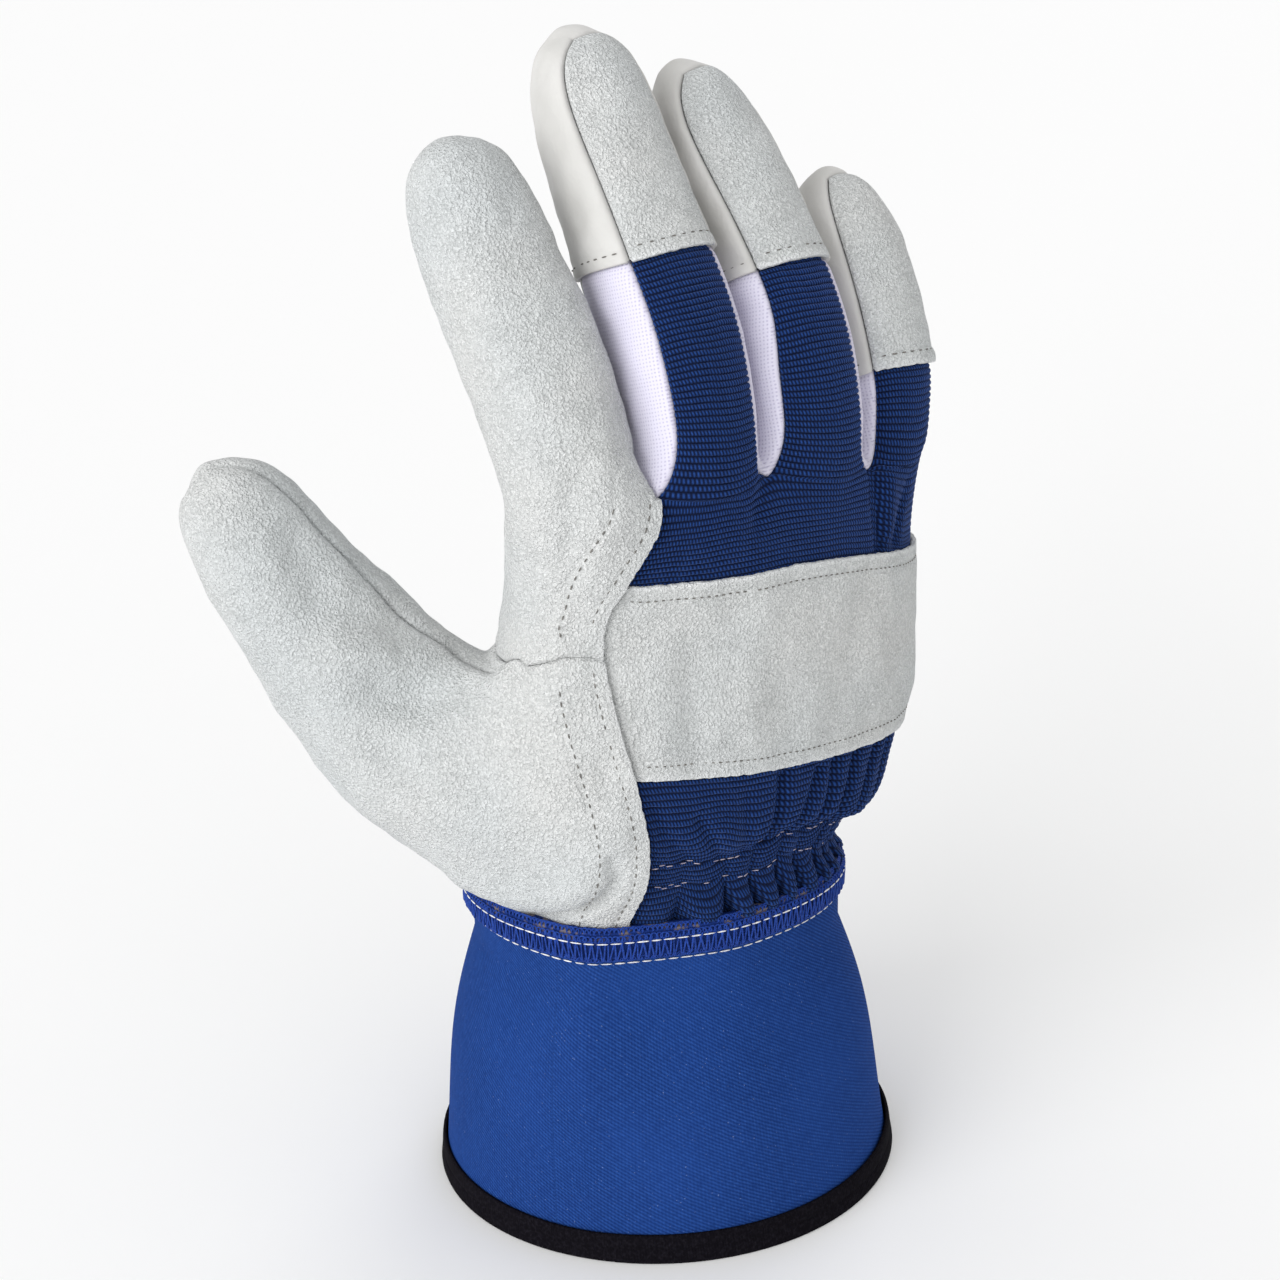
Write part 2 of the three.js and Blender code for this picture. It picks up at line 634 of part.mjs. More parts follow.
// Hem binding: a tape folded over the hem, outside and inside.
glove.add(ringWall('hem_binding', columns.length, (j) => {
  const tall = wristPoint(j, 0, 0).z - hemFloor;
  const out = (z, height) => cuffPoint(j, (z - hemFloor) / tall, height, hemFloor);
  const outerFace = CANVAS + GAP;
  return [
    out(0, outerFace + BINDING_WALL).setZ(0),
    out(BINDING_HEIGHT, outerFace + BINDING_WALL),
    out(BINDING_HEIGHT, outerFace),
    out(BINDING_WALL, outerFace).setZ(BINDING_WALL),
    out(BINDING_WALL, -GAP).setZ(BINDING_WALL),
    out(BINDING_HEIGHT, -GAP),
    out(BINDING_HEIGHT, -GAP - BINDING_WALL),
    out(0, -GAP - BINDING_WALL).setZ(0),
  ];
}, LOOKS.binding));

// Overlocked edge: a thicker band that caps the top of the cuff.
glove.add(ringWall('wrist_overlock', columns.length, (j) => {
  const at = (drop, height) => {
    const top = wristPoint(j, 2, over + height);
    const foot = wristPoint(j, 0, over + height);
    return drop < 0 ? top.setZ(top.z - drop) : top.lerp(foot, drop / (HAND[1].z - HAND[0].z));
  };
  const outerFace = CANVAS + 1.5 * GAP;
  return [
    at(OVERLOCK_HEIGHT, outerFace + OVERLOCK_WALL),
    at(-GAP - OVERLOCK_WALL, outerFace + OVERLOCK_WALL),
    at(-GAP - OVERLOCK_WALL, CANVAS / 2),
    at(-1.3 * GAP, CANVAS / 2),
    at(-1.3 * GAP, outerFace),
    at(OVERLOCK_HEIGHT, outerFace),
  ];
}, LOOKS.overlock));

export default glove;
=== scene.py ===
"""Rigger glove, right hand, standing filled out on its open cuff.

Run as a script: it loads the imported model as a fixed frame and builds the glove's surfaces round it.
The tables are in millimetres, in the frame of the solids; meshes are made in metres.
"""
import json
import math

import bpy
import numpy as np
from mathutils import Euler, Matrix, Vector, kdtree

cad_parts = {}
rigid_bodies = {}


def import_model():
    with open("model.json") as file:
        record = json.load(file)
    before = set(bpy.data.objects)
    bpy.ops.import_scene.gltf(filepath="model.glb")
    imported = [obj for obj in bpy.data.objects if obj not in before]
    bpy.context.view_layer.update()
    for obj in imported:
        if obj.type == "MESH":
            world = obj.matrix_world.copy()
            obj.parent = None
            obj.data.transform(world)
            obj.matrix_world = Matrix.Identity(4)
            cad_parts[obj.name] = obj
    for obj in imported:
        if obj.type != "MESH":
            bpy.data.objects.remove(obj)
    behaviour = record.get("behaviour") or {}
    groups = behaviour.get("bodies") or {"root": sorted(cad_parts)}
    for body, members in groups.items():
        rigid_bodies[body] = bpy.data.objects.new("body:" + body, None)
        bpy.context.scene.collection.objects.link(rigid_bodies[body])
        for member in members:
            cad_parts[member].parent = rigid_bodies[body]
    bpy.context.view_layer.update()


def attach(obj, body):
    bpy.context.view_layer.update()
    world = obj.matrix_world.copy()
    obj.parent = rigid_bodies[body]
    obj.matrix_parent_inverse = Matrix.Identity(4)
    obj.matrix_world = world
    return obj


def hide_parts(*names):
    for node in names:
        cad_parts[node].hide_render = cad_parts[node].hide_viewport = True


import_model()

bl_info = {
    "name": "Rigger Glove",
    "version": (1, 0, 0),
    "blender": (4, 5, 0),
    "location": "View3D > Sidebar > Glove",
    "description": "Builds a rigger glove with suede panels, a ribbed knit back and a canvas cuff",
    "category": "Add Mesh",
}

MM = 0.001
BODY = "root"


def table(names, rows):
    """Rows of values as dictionaries with these names."""
    return [dict(zip(names.split(), row)) for row in rows]


# Sections of the hand from the wrist up. seam is where the thumb side's leather meets the knit.
HAND = table("z x y half_width back front tilt_x tilt_y seam", [
    (56, -2.8, 1, 35.2, 29.3, 28.5, -0.04, -0.06, -33),
    (72, -2.8, 0.5, 35.2, 29.3, 28.5, -0.04, -0.06, -32),
    (79.5, -2.7, -1, 41.6, 30.5, 29.5, -0.06, -0.08, -30.5),
    (89, -0.5, -3.5, 46, 29, 28, -0.08, -0.06, -30.5),
    (100.4, 2, -5, 48.5, 27, 26, -0.12, -0.03, -33),
    (128, 4.1, -6.5, 48.3, 24.5, 21.5, -0.12, 0, -41),
    (141, 3.3, -8, 46.7, 23, 18.5, -0.11, 0, -36),
    (150.5, 3.8, -9, 46.8, 21, 16, -0.08, 0, -28),
    (158.5, 4.6, -10, 47.6, 19, 14, -0.05, 0, -22.5),
])
# Where the columns of a section lie, in half widths: the back's from the seam on, then the palm's.
BACK_SIDE = -0.92
BACK = (-0.25, -0.03, 0.235, 0.5, 0.73, 0.92)
FRONT = (0.92, 0.73, 0.5, 0.235, -0.02, -0.25, -0.5, -0.72, -0.92)
# Corners of the cage moved down and out towards the thumb.
SHAPING = table("row column down out", [
    (5, 0, 0.5, -0.5), (5, 1, -3, 0), (5, 2, -4, 0),
    (5, 19, 10, -2.5), (5, 18, 11, -1), (5, 17, 7, 0), (5, 16, 2, 0),
    (6, 19, 3.5, -2.5), (6, 18, 4, -1), (6, 17, 2.5, 0), (6, 0, 0, -2),
    (6, 2, -1.5, 0), (6, 3, -3.6, 0), (6, 4, -5.4, 0), (6, 5, -5.2, 0), (6, 6, -3.6, 0), (6, 7, -1.4, 0),
    (7, 2, 0, 1.4), (7, 3, -1, 0), (7, 4, -1.8, 0), (7, 5, -1.8, 0), (7, 6, -1, 0),
    (8, 0, 0, 1), (8, 19, 0, 1), (8, 2, -1, 1), (8, 4, -3.7, 1.8),
    (1, 19, 0, 1.6), (1, 18, 0, 1.2), (1, 0, 0, 0.6),
    (2, 19, 2.6, 5.4), (2, 18, 2.4, 4.6), (2, 0, 1.6, 2.4), (2, 17, 1.5, 2),
])
FINGER_COLUMNS = "x y z width depth"
FINGERS = {
    "index": (0, table(FINGER_COLUMNS, [
        (-31.7, -7.3, 168, 23.4, 24.8), (-31.2, -1.8, 177, 24.8, 25.8), (-32.4, 4.6, 188, 24.8, 25.3),
        (-33.9, 11, 199, 23.8, 23.5), (-35.3, 15.6, 209, 22.8, 22.3), (-36.7, 18.5, 217, 19.2, 19.2),
        (-37.1, 19.6, 221.5, 11, 11)])),
    "middle": (4, table(FINGER_COLUMNS, [
        (-7.4, -15.5, 169, 23.6, 25.6), (-7, -11.8, 179, 24.4, 26), (-6.5, -7, 188, 25, 26),
        (-6.8, -1.7, 196.8, 24.4, 25), (-7.1, 7.8, 212, 23.4, 23.1), (-7.8, 15.3, 227, 22.3, 21.5),
        (-8.1, 19, 235, 17.2, 17.2), (-8.7, 20.9, 239, 9, 9)])),
    "ring": (4, table(FINGER_COLUMNS, [
        (17.5, -17.7, 168, 24.2, 26), (17.7, -14.7, 176, 24.4, 26), (18.3, -11.2, 184, 23.5, 25.5),
        (18.7, -6.4, 191.5, 23, 24.5), (18.6, 2.9, 205, 22.4, 23.5), (17.2, 10.8, 218.5, 20.6, 21),
        (15.7, 15.2, 226.5, 15.6, 15.6), (14.8, 17.3, 230.8, 8, 8)])),
    "pinky": (3, table(FINGER_COLUMNS, [
        (40.3, -15.7, 161, 20, 21.5), (40.7, -15, 166, 20, 21.6), (41.4, -14.2, 171, 21, 22),
        (42.2, -8.4, 184.5, 21.8, 22.1), (42.1, -2.1, 196, 20.2, 20.6), (41.8, 1.8, 204, 16.2, 16.2),
        (41.9, 3.2, 208.3, 7, 7)])),
}
# Corners of a finger's section that the seams pull aside. Corner 0 is the back's thumb side; they go
# on over the back, and 6 and 7 are on the side next to 0.
SEAMS = table("fingers station corner across out lift", [
    ("middle", 0, 0, -0.97, -0.78, 0), ("middle", 1, 0, -0.97, -0.78, 0), ("middle", 2, 0, -0.95, -0.8, 0),
    ("middle", 3, 0, -0.98, -0.78, 0), ("middle", 3, 7, -1.08, 0, 3), ("middle", 3, 6, -0.85, 0.85, 5),
    ("ring", 0, 0, -1.02, -0.74, 0), ("ring", 1, 0, -1, -0.76, 0),
    ("ring", 3, 7, -1.08, 0, 1.5), ("ring", 3, 6, -0.85, 0.85, 2.5),
    ("middle ring", 4, 0, -0.97, -0.76, 0), ("middle ring", 5, 0, -1.06, -0.5, 0),
    ("middle ring", 5, 2, 1.06, -0.5, 0), ("middle ring", 6, 0, -0.98, -0.62, 0),
    ("middle ring", 6, 2, 0.98, -0.62, 0), ("middle ring", 7, 0, -0.15, -1.05, -2),
    ("middle ring", 7, 1, 0.35, -1.1, -2.5), ("middle ring", 7, 2, 0.8, -0.8, -2.5),
    ("pinky", 6, 0, -0.5, -0.95, 0), ("pinky", 6, 2, 0.5, -0.95, 0),
    ("pinky", 2, 7, -1.08, 0, -3), ("pinky", 2, 6, -0.85, 0.85, -3),
])
THUMB = table("along across z height depth", [
    (-49.6, -14, 103.7, 42.5, 38), (-59.5, -14, 115.6, 36, 34), (-69, -14, 129, 30.2, 29),
    (-77, -13, 140, 27.5, 27), (-83.5, -12, 149.5, 25, 24), (-87.3, -11.5, 155.5, 19.5, 19),
    (-89.2, -11.2, 158.5, 10.5, 11),
])
SQUARENESS = 2.5
# The rounding draws a cage in; these bring its corners and middles back out.
CORNER, MIDDLE, ROUNDED, HAND_SIDE, HAND_EDGE = 0.85, 1.08, 1.047, 1.03, 1.06
SPREAD = math.radians(-38)
ALONG = np.array([math.cos(SPREAD), math.sin(SPREAD), 0])
ACROSS = np.array([-math.sin(SPREAD), math.cos(SPREAD), 0])
# Columns of the hand's sections count from the thumb side over the back; rows count up from the wrist.
COLUMNS, FINGER_SIDES, THUMB_SIDES = 20, 8, 12
THUMB_FROM, THUMB_TO, THUMB_COLUMN = 2, 5, 17
STRAP_FROM, STRAP_TO = 4, 6
KNIT_COLUMNS, PALM_COLUMNS = range(2, 9), range(9, 18)
# Columns of the back and the palm that meet between two fingers, and how far up they meet.
CROTCHES, CROTCH_UP = ((2, 16), (4, 14), (6, 12)), 2
FINGER_TIP_OUT, THUMB_TIP_OUT = 2.5, 2

# Steps along one side of a cage quad on a piece's outer face, and on its lining.
LEATHER_STEPS, FORK_STEPS, STRAP_STEPS = 20, 16, 22
LINING_STEPS, STRAP_LINING_STEPS = 4, 2
# The same for a panel that only serves to measure how far the knit's points are from its edges.
EDGE_STEPS = 8

# Millimetres from the skin to the outer faces of leather, knit and strap, and the walls' thickness.
PROUD = 0.45
SUNK = 0.45
STRAP_PROUD = 1.0
STRAP_THINNER = 0.1
# A leather edge that laps over the knit is lifted, and more so over the strap.
KNIT_LIFT, STRAP_LIFT = 0.4, 0.75
KNIT_WALL = 1.2
# A cut edge strays by FRAY. An edge over a neighbour passes it by LAP; others stay back from the seam.
FRAY, FRAY_LENGTH = 0.1, 1.4
LAP, SET_BACK = 0.35, 0.06
EDGE_RINGS = 4
LINING_INSET = 0.2
# Distances from an edge are measured no further than this.
REACH = 14.0
FORK_WALL = 1.0

# The cuff: its canvas, the play between layers, half the hem's length and width and its turn.
CANVAS = 1.7
GAP = 0.35
HEM_LONG, HEM_SHORT, HEM_TURN = 49.0, 43.8, math.radians(-18)
BINDING_WALL = 0.8
OVERLOCK_HEIGHT = 6.2
OVERLOCK_FACE = CANVAS + GAP - 0.4
CUFF_SWELL = 1.95
HEM_FLOOR = BINDING_WALL + GAP
# From the skin to the canvas's inner face where the cuff laps over the leather.
OVER = PROUD + GAP + 0.1

CAPS = ("cap_middle", "cap_ring", "cap_pinky")
LEATHERS = ("palm_leather", "index_leather", "thumb_leather", "thumb_inner") + CAPS
GUSSETS = ("gusset_middle", "gusset_ring", "gusset_pinky")
FORKS = ("fork_index_middle", "fork_middle_ring", "fork_ring_pinky")
CLOTH = ("back_knit", "knuckle_strap")

# How far the stitch rows lie inside the edge over the knit; two panels have both rows.
EDGE_ROW, FAR_ROW = 2.1, 9.4
CAP_ROW, GUSSET_ROW, STRAP_ROW = 2.0, 1.5, 2.4
# An edge of fewer points, or a row that keeps fewer once its ends are trimmed, has no stitches.
SHORTEST_EDGE, SHORTEST_ROW = 12, 5
TWICE_SEWN = ("index_leather", "thumb_leather")

# How deep and how wide each pair of panels rolls into the turned seam between them.
ROLLS = {
    ("thumb_leather", "thumb_inner"): (1.5, 2.4),
    ("index_leather", "thumb_leather"): (0.25, 0.8),
    ("cap", "gusset"): (0.9, 1.3),
    ("gusset", "palm_leather"): (0.9, 1.5),
}
ROLL = (1.0, 1.7)

# Soft furrows (depth above 0) and ridges (below 0): the piece, millimetres deep and wide, and their way.
FURROWS = table("piece depth width way", [
    ("thumb_leather", 1.7, 5.0, ((-69.4, 26.5, 148.3), (-68.5, 20.9, 138.5), (-63.9, 18.5, 135.9),
                                 (-55.8, 15.4, 131.3))),
    ("thumb_leather", -0.9, 3.6, ((-66.8, 16.4, 129.3), (-58.8, 12.8, 127.4), (-47.6, 12.4, 125.4))),
    ("thumb_leather", 2.0, 4.6, ((-62.5, 11.4, 121.5), (-57.6, 8.3, 119.4), (-52, 2.6, 120.4),
                                 (-48.2, -1.7, 124.2))),
    ("thumb_leather", 0.8, 1.8, ((-46, -7, 127.7), (-44.3, -14.5, 129.4), (-41.2, -20.1, 131.9))),
    ("thumb_leather", -2.2, 5.0, ((-49.8, 1.1, 81), (-45.7, -5.5, 79.2), (-42.5, -14.1, 80.6),
                                  (-38.9, -22.3, 85.6))),
    ("thumb_leather", 1.6, 1.5, ((-35.6, -26.7, 91.3), (-34.5, -26.6, 87.1), (-35.6, -23.9, 82.6),
                                 (-37.2, -20.1, 79.1), (-39.2, -14.6, 76.1), (-40.6, -8.2, 74))),
    ("index_leather", 0.8, 3.0, ((-37.1, -19.3, 168.9), (-39.5, -20.4, 160), (-40, -20.4, 148.5),
                                 (-40.1, -20.9, 139.5))),
    ("knuckle_strap", 0.7, 3.2, ((-18.7, -29, 129.7), (-19.2, -29.8, 118), (-17.6, -31.2, 109.7))),
    ("knuckle_strap", 0.55, 3.0, ((-11, -31.5, 124.2), (-10.8, -32.4, 112.2))),
    ("back_knit", 2.0, 1.6, ((30, -25.4, 157.7), (29.1, -28.7, 151.1), (29.6, -29.8, 142))),
    ("back_knit", -1.0, 2.0, ((33.8, -27, 153.5), (32, -29.3, 144))),
    ("back_knit", 1.0, 1.5, ((39.5, -25.5, 152), (35.5, -28.4, 141))),
    ("back_knit", 0.9, 2.0, ((1.3, -26.8, 162.4), (-1.6, -29.7, 158.3), (-3.5, -31, 154.1))),
])

# The wrist's gathers, in millimetres across the knit from the thumb side and along it from its hidden
# lower end. Two elastic threads draw it in; pleats hang below them and softer folds rise above.
ELASTIC_ROWS = {
    "upper": ((0, 29.3), (11.5, 28.9), (20.2, 27.3), (25.4, 27.6), (34.6, 30.0), (38.7, 29.7), (50.9, 28.6),
              (63.6, 24.4), (93, 24)),
    "lower": ((0, 24.3), (11.5, 22.9), (21.6, 22.4), (31.3, 22.1), (41, 23.6), (49, 23.3), (63.6, 20),
              (93, 20)),
}
PLEATS = table("across depth", [
    (0, 0.2), (11.5, 0.55), (24.2, 1), (31.3, 1), (39.3, 0.9), (45, 0.8), (53.2, 1), (58.7, 0.8), (65.5, 0.9),
    (72, 0.8), (78.5, 1), (85.5, 0.8), (93, 0.2),
])
FOLDS = table("depth width way", [
    (0.8, 1.7, ((3, 41), (4.7, 36.7), (11.5, 30))),
    (0.9, 1.6, ((13.4, 38.5), (17, 33.5), (21.6, 28))),
    (0.6, 1.6, ((24.2, 42), (24.2, 37), (25.4, 29.5))),
    (1.7, 1.5, ((32.8, 45), (32.4, 38), (32, 30))),
    (1.3, 1.4, ((42, 44), (39.8, 38), (38.4, 30))),
    (1.4, 1.4, ((46.5, 45), (45.8, 39), (44.6, 30))),
    (1.4, 1.4, ((53, 46), (51, 36), (52, 29))),
    (1.3, 1.4, ((60, 45), (58, 36), (58.5, 27))),
    (1.3, 1.4, ((66, 44), (65.5, 36), (65, 27))),
    (1.2, 1.5, ((74, 44), (73, 34), (72, 27))),
    (1.2, 1.5, ((81, 44), (80, 34), (79, 27))),
    (0.9, 1.5, ((88, 42), (87, 34), (86, 27))),
])


# ---------------------------------------------------------------- the hand's skin

def unit(v):
    return v / np.maximum(np.linalg.norm(v, axis=-1, keepdims=True), 1e-12)


def hand_cage():
    """Points, quads (start, next round, above next, above), each quad's panel, and where each quad lies."""
    points, corners, panels, place = [], [], [], {}

    def add(point):
        points.append(np.array(point, float))
        return len(points) - 1

    def quad(panel, key, *ids):
        place[key] = len(corners)
        corners.append(ids)
        panels.append(panel)

    def curve(t):
        return (1 - abs(t) ** SQUARENESS) ** (1 / SQUARENESS)

    rows = []
    for k, s in enumerate(HAND):
        knuckles = k - len(HAND) + 3

        def ripple(j):
            """In the last two rows the columns between the fingers sink and those over them stand out."""
            if knuckles < 1 or j in (0, 8):
                return 0
            return (-1.05 if j % 2 else 1.25) * (2 if knuckles == 2 else 0.8)

        def point(dx, dy):
            return (s["x"] + dx, s["y"] + dy, s["z"] + s["tilt_x"] * dx + s["tilt_y"] * dy)

        half = s["half_width"]
        seam = (s["seam"] - s["x"]) / half
        first = min(BACK_SIDE, seam - 0.05)
        ring = []
        back = (first, (first + seam) / 2, seam) + BACK
        for places, deep, edge in ((back, -s["back"], half), (FRONT, s["front"], -half)):
            way = math.copysign(1, deep)
            ring += [point(t * half * HAND_SIDE, deep * MIDDLE * curve(t) - way * ripple(j))
                     for j, t in enumerate(places)]
            ring.append(point(edge * HAND_EDGE, 0))
        ring = [np.array(p) for p in ring]
        for shape in SHAPING:
            if shape["row"] == k:
                ring[shape["column"]] += (0, 0, -shape["down"])
                ring[shape["column"]] -= ALONG * shape["out"]
        rows.append([add(p) for p in ring])

    for k in range(len(rows) - 1):
        for j in range(COLUMNS):
            if THUMB_FROM <= k < THUMB_TO and j >= THUMB_COLUMN:
                continue
            panel = "index_leather" if k >= THUMB_TO else "thumb_leather"
            if j in KNIT_COLUMNS:
                panel = "knuckle_strap" if STRAP_FROM <= k < STRAP_TO else "back_knit"
            if j in PALM_COLUMNS:
                panel = "palm_leather"
            after = (j + 1) % COLUMNS
            quad(panel, ("hand", k, j), rows[k][j], rows[k][after], rows[k + 1][after], rows[k + 1][j])

    top = rows[-1]
    crotch = [add((points[top[b]] + points[top[f]]) / 2 + (0, 0, CROTCH_UP)) for b, f in CROTCHES]
    between = [top[19]] + crotch + [top[9]]
    roots = {name: top[2 * n:2 * n + 3] + [between[n + 1]] + top[16 - 2 * n:19 - 2 * n] + [between[n]]
             for n, name in enumerate(FINGERS)}
    section = ((-1, -1), (0, -1), (1, -1), (1, 0), (1, 1), (0, 1), (-1, 1), (-1, 0))
    for name, (cap, stations) in FINGERS.items():
        centres = [np.array((s["x"], s["y"], s["z"]), float) for s in stations]
        directions = travel(np.mean([points[i] for i in roots[name]], axis=0), centres)
        previous = roots[name]
        for i, s in enumerate(stations):
            sideways = unit(np.array((1.0, 0, 0)) - directions[i] * directions[i][0])
            outward = np.cross(directions[i], sideways)
            ring = []
            for corner, (u, v) in enumerate(section):
                share = CORNER if u and v else MIDDLE
                u, v, lift = u * share, v * share, 0
                for seam in SEAMS:
                    if name in seam["fingers"] and (seam["station"], seam["corner"]) == (i, corner):
                        u, v, lift = seam["across"], seam["out"], seam["lift"]
                spot = centres[i] + sideways * u * s["width"] / 2 + outward * v * s["depth"] / 2
                ring.append(add(spot + directions[i] * lift))
            for side in range(FINGER_SIDES):
                after = (side + 1) % FINGER_SIDES
                quad(finger_panel(name, side, i >= cap), (name, i, side), previous[side], previous[after],
                     ring[after], ring[side])
            previous = ring
        tip = add(centres[-1] + unit(centres[-1] - centres[-2]) * FINGER_TIP_OUT)
        panel = "index_leather" if name == "index" else f"gusset_{name}"
        bl, b, br, r, fr, f, fl, l = previous
        for n, ids in enumerate(((bl, b, tip, l), (b, br, r, tip), (tip, r, fr, f), (l, tip, f, fl))):
            quad(panel, (name, "tip", n), *ids)

    low, high = rows[THUMB_FROM], rows[THUMB_TO]
    previous = [high[0], high[19], high[18], high[17], rows[4][17], rows[3][17], low[17], low[18], low[19],
                low[0], rows[3][0], rows[4][0]]
    centres = [ALONG * s["along"] + ACROSS * s["across"] + np.array((0, 0, s["z"])) for s in THUMB]
    directions = travel(np.mean([points[i] for i in previous], axis=0), centres)
    for i, s in enumerate(THUMB):
        palmward = unit(ACROSS - directions[i] * (directions[i] @ ACROSS))
        upward = np.cross(palmward, directions[i])
        upward = -upward if upward[2] < 0 else upward
        ring = []
        for k in range(THUMB_SIDES):
            angle = math.radians(135 - 360 / THUMB_SIDES * k)
            deep = palmward * s["depth"] / 2 * ROUNDED * math.cos(angle)
            ring.append(add(centres[i] + deep + upward * s["height"] / 2 * ROUNDED * math.sin(angle)))
        for k in range(THUMB_SIDES):
            after = (k + 1) % THUMB_SIDES
            quad("thumb_inner" if 0 < k < 7 else "thumb_leather", ("thumb", i, k), previous[k],
                 previous[after], ring[after], ring[k])
        previous = ring
    patch = [previous[0:4], [previous[11], 0, 0, previous[4]], [previous[10], 0, 0, previous[5]],
             [previous[9], previous[8], previous[7], previous[6]]]
    for v in (1, 2):
        for u in (1, 2):
            vertical = points[patch[0][u]] * (1 - v / 3) + points[patch[3][u]] * v / 3
            level = points[patch[v][0]] * (1 - u / 3) + points[patch[v][3]] * u / 3
            patch[v][u] = add((vertical + level) / 2 + directions[-1] * THUMB_TIP_OUT)
    for v in range(3):
        for u in range(3):
            quad("thumb_inner" if u else "thumb_leather", ("thumb", "tip", 3 * v + u), patch[v][u],
                 patch[v][u + 1], patch[v + 1][u + 1], patch[v + 1][u])
    return np.array(points), corners, panels, place


def travel(root, centres):
    """Direction of travel at each station of a limb, from the centre of its root."""
    line = [root] + centres
    return [unit(line[min(i + 2, len(line) - 1)] - line[i]) for i in range(len(centres))]


def finger_panel(name, side, tip):
    """The panel that one side of a finger belongs to, below its tip or on it."""
    if side in (4, 5):
        return "palm_leather"
    if name == "index":
        return "index_leather"
    back = f"cap_{name}" if tip else "back_knit"
    if side < 2 or (name == "pinky" and side == 2):
        return back
    if name == "pinky" and side == 3:
        return "palm_leather"
    if tip:
        return f"gusset_{name}"
    if side > 5:
        return {"middle": "fork_index_middle", "ring": "fork_middle_ring", "pinky": "fork_ring_pinky"}[name]
    return {"middle": "fork_middle_ring", "ring": "fork_ring_pinky"}[name]


class Skin:
    """The hand's rounded surface: for each quad of the cage, a square grid of points and normals."""

    LEVELS = 5

    def __init__(self):
        self.points, self.corners, self.panels, self.place = hand_cage()
        steps = 2 ** self.LEVELS
        mesh = bpy.data.meshes.new("hand_cage")
        mesh.from_pydata(self.points.tolist(), [], [list(c) for c in self.corners])
        count = len(self.corners)
        square = np.tile(np.array(((0, 0), (1, 0), (1, 1), (0, 1)), np.float32), (count, 1))
        square[:, 0] += np.repeat(np.arange(count) * 2, 4)
        mesh.uv_layers.new(name="place").data.foreach_set("uv", square.ravel())
        cage = linked("hand_cage", mesh)
        rounding = cage.modifiers.new("Rounding", "SUBSURF")
        rounding.levels = rounding.render_levels = self.LEVELS
        rounding.uv_smooth = "NONE"
        fine = bpy.data.meshes.new_from_object(cage.evaluated_get(bpy.context.evaluated_depsgraph_get()))
        where = read(fine.vertices, "co", 3)
        facing = read(fine.vertices, "normal", 3)
        vertex = read(fine.loops, "vertex_index", 1, np.int32).ravel()
        uv = read(fine.uv_layers["place"].data, "uv", 2)
        quads = np.floor(uv.reshape(-1, 4, 2)[:, :, 0].mean(1) / 2).astype(int).repeat(4)
        i = np.rint((uv[:, 0] - quads * 2) * steps).astype(int)
        j = np.rint(uv[:, 1] * steps).astype(int)
        self.grid = np.zeros((count, steps + 1, steps + 1, 3))
        self.facing = np.zeros_like(self.grid)
        self.grid[quads, i, j] = where[vertex]
        self.facing[quads, i, j] = facing[vertex]
        bpy.data.objects.remove(cage)
        bpy.data.meshes.remove(mesh)
        bpy.data.meshes.remove(fine)

    def patches(self, quads, steps):
        """The grids of some quads, resampled to so many steps a side."""
        at = np.linspace(0, self.grid.shape[1] - 1, steps + 1)
        low = np.minimum(at.astype(int), self.grid.shape[1] - 2)
        share = (at - low)[:, None]

        def resample(grid):
            g = grid[quads]
            g = g[:, low] * (1 - share[:, None]) + g[:, low + 1] * share[:, None]
            return g[:, :, low] * (1 - share) + g[:, :, low + 1] * share

        return resample(self.grid), unit(resample(self.facing))


# What the operators make once and share: the skin, materials, and the outer faces that stitches lie on.
_shared = {}


def skin():
    """The hand's skin, made once."""
    if "skin" not in _shared:
        _shared["skin"] = Skin()
    return _shared["skin"]


def read(collection, name, width, kind=np.float32):
    values = np.empty(len(collection) * width, kind)
    collection.foreach_get(name, values)
    return values.reshape(-1, width).astype(kind if kind == np.int32 else float)


# ---------------------------------------------------------------- panels cut from the skin

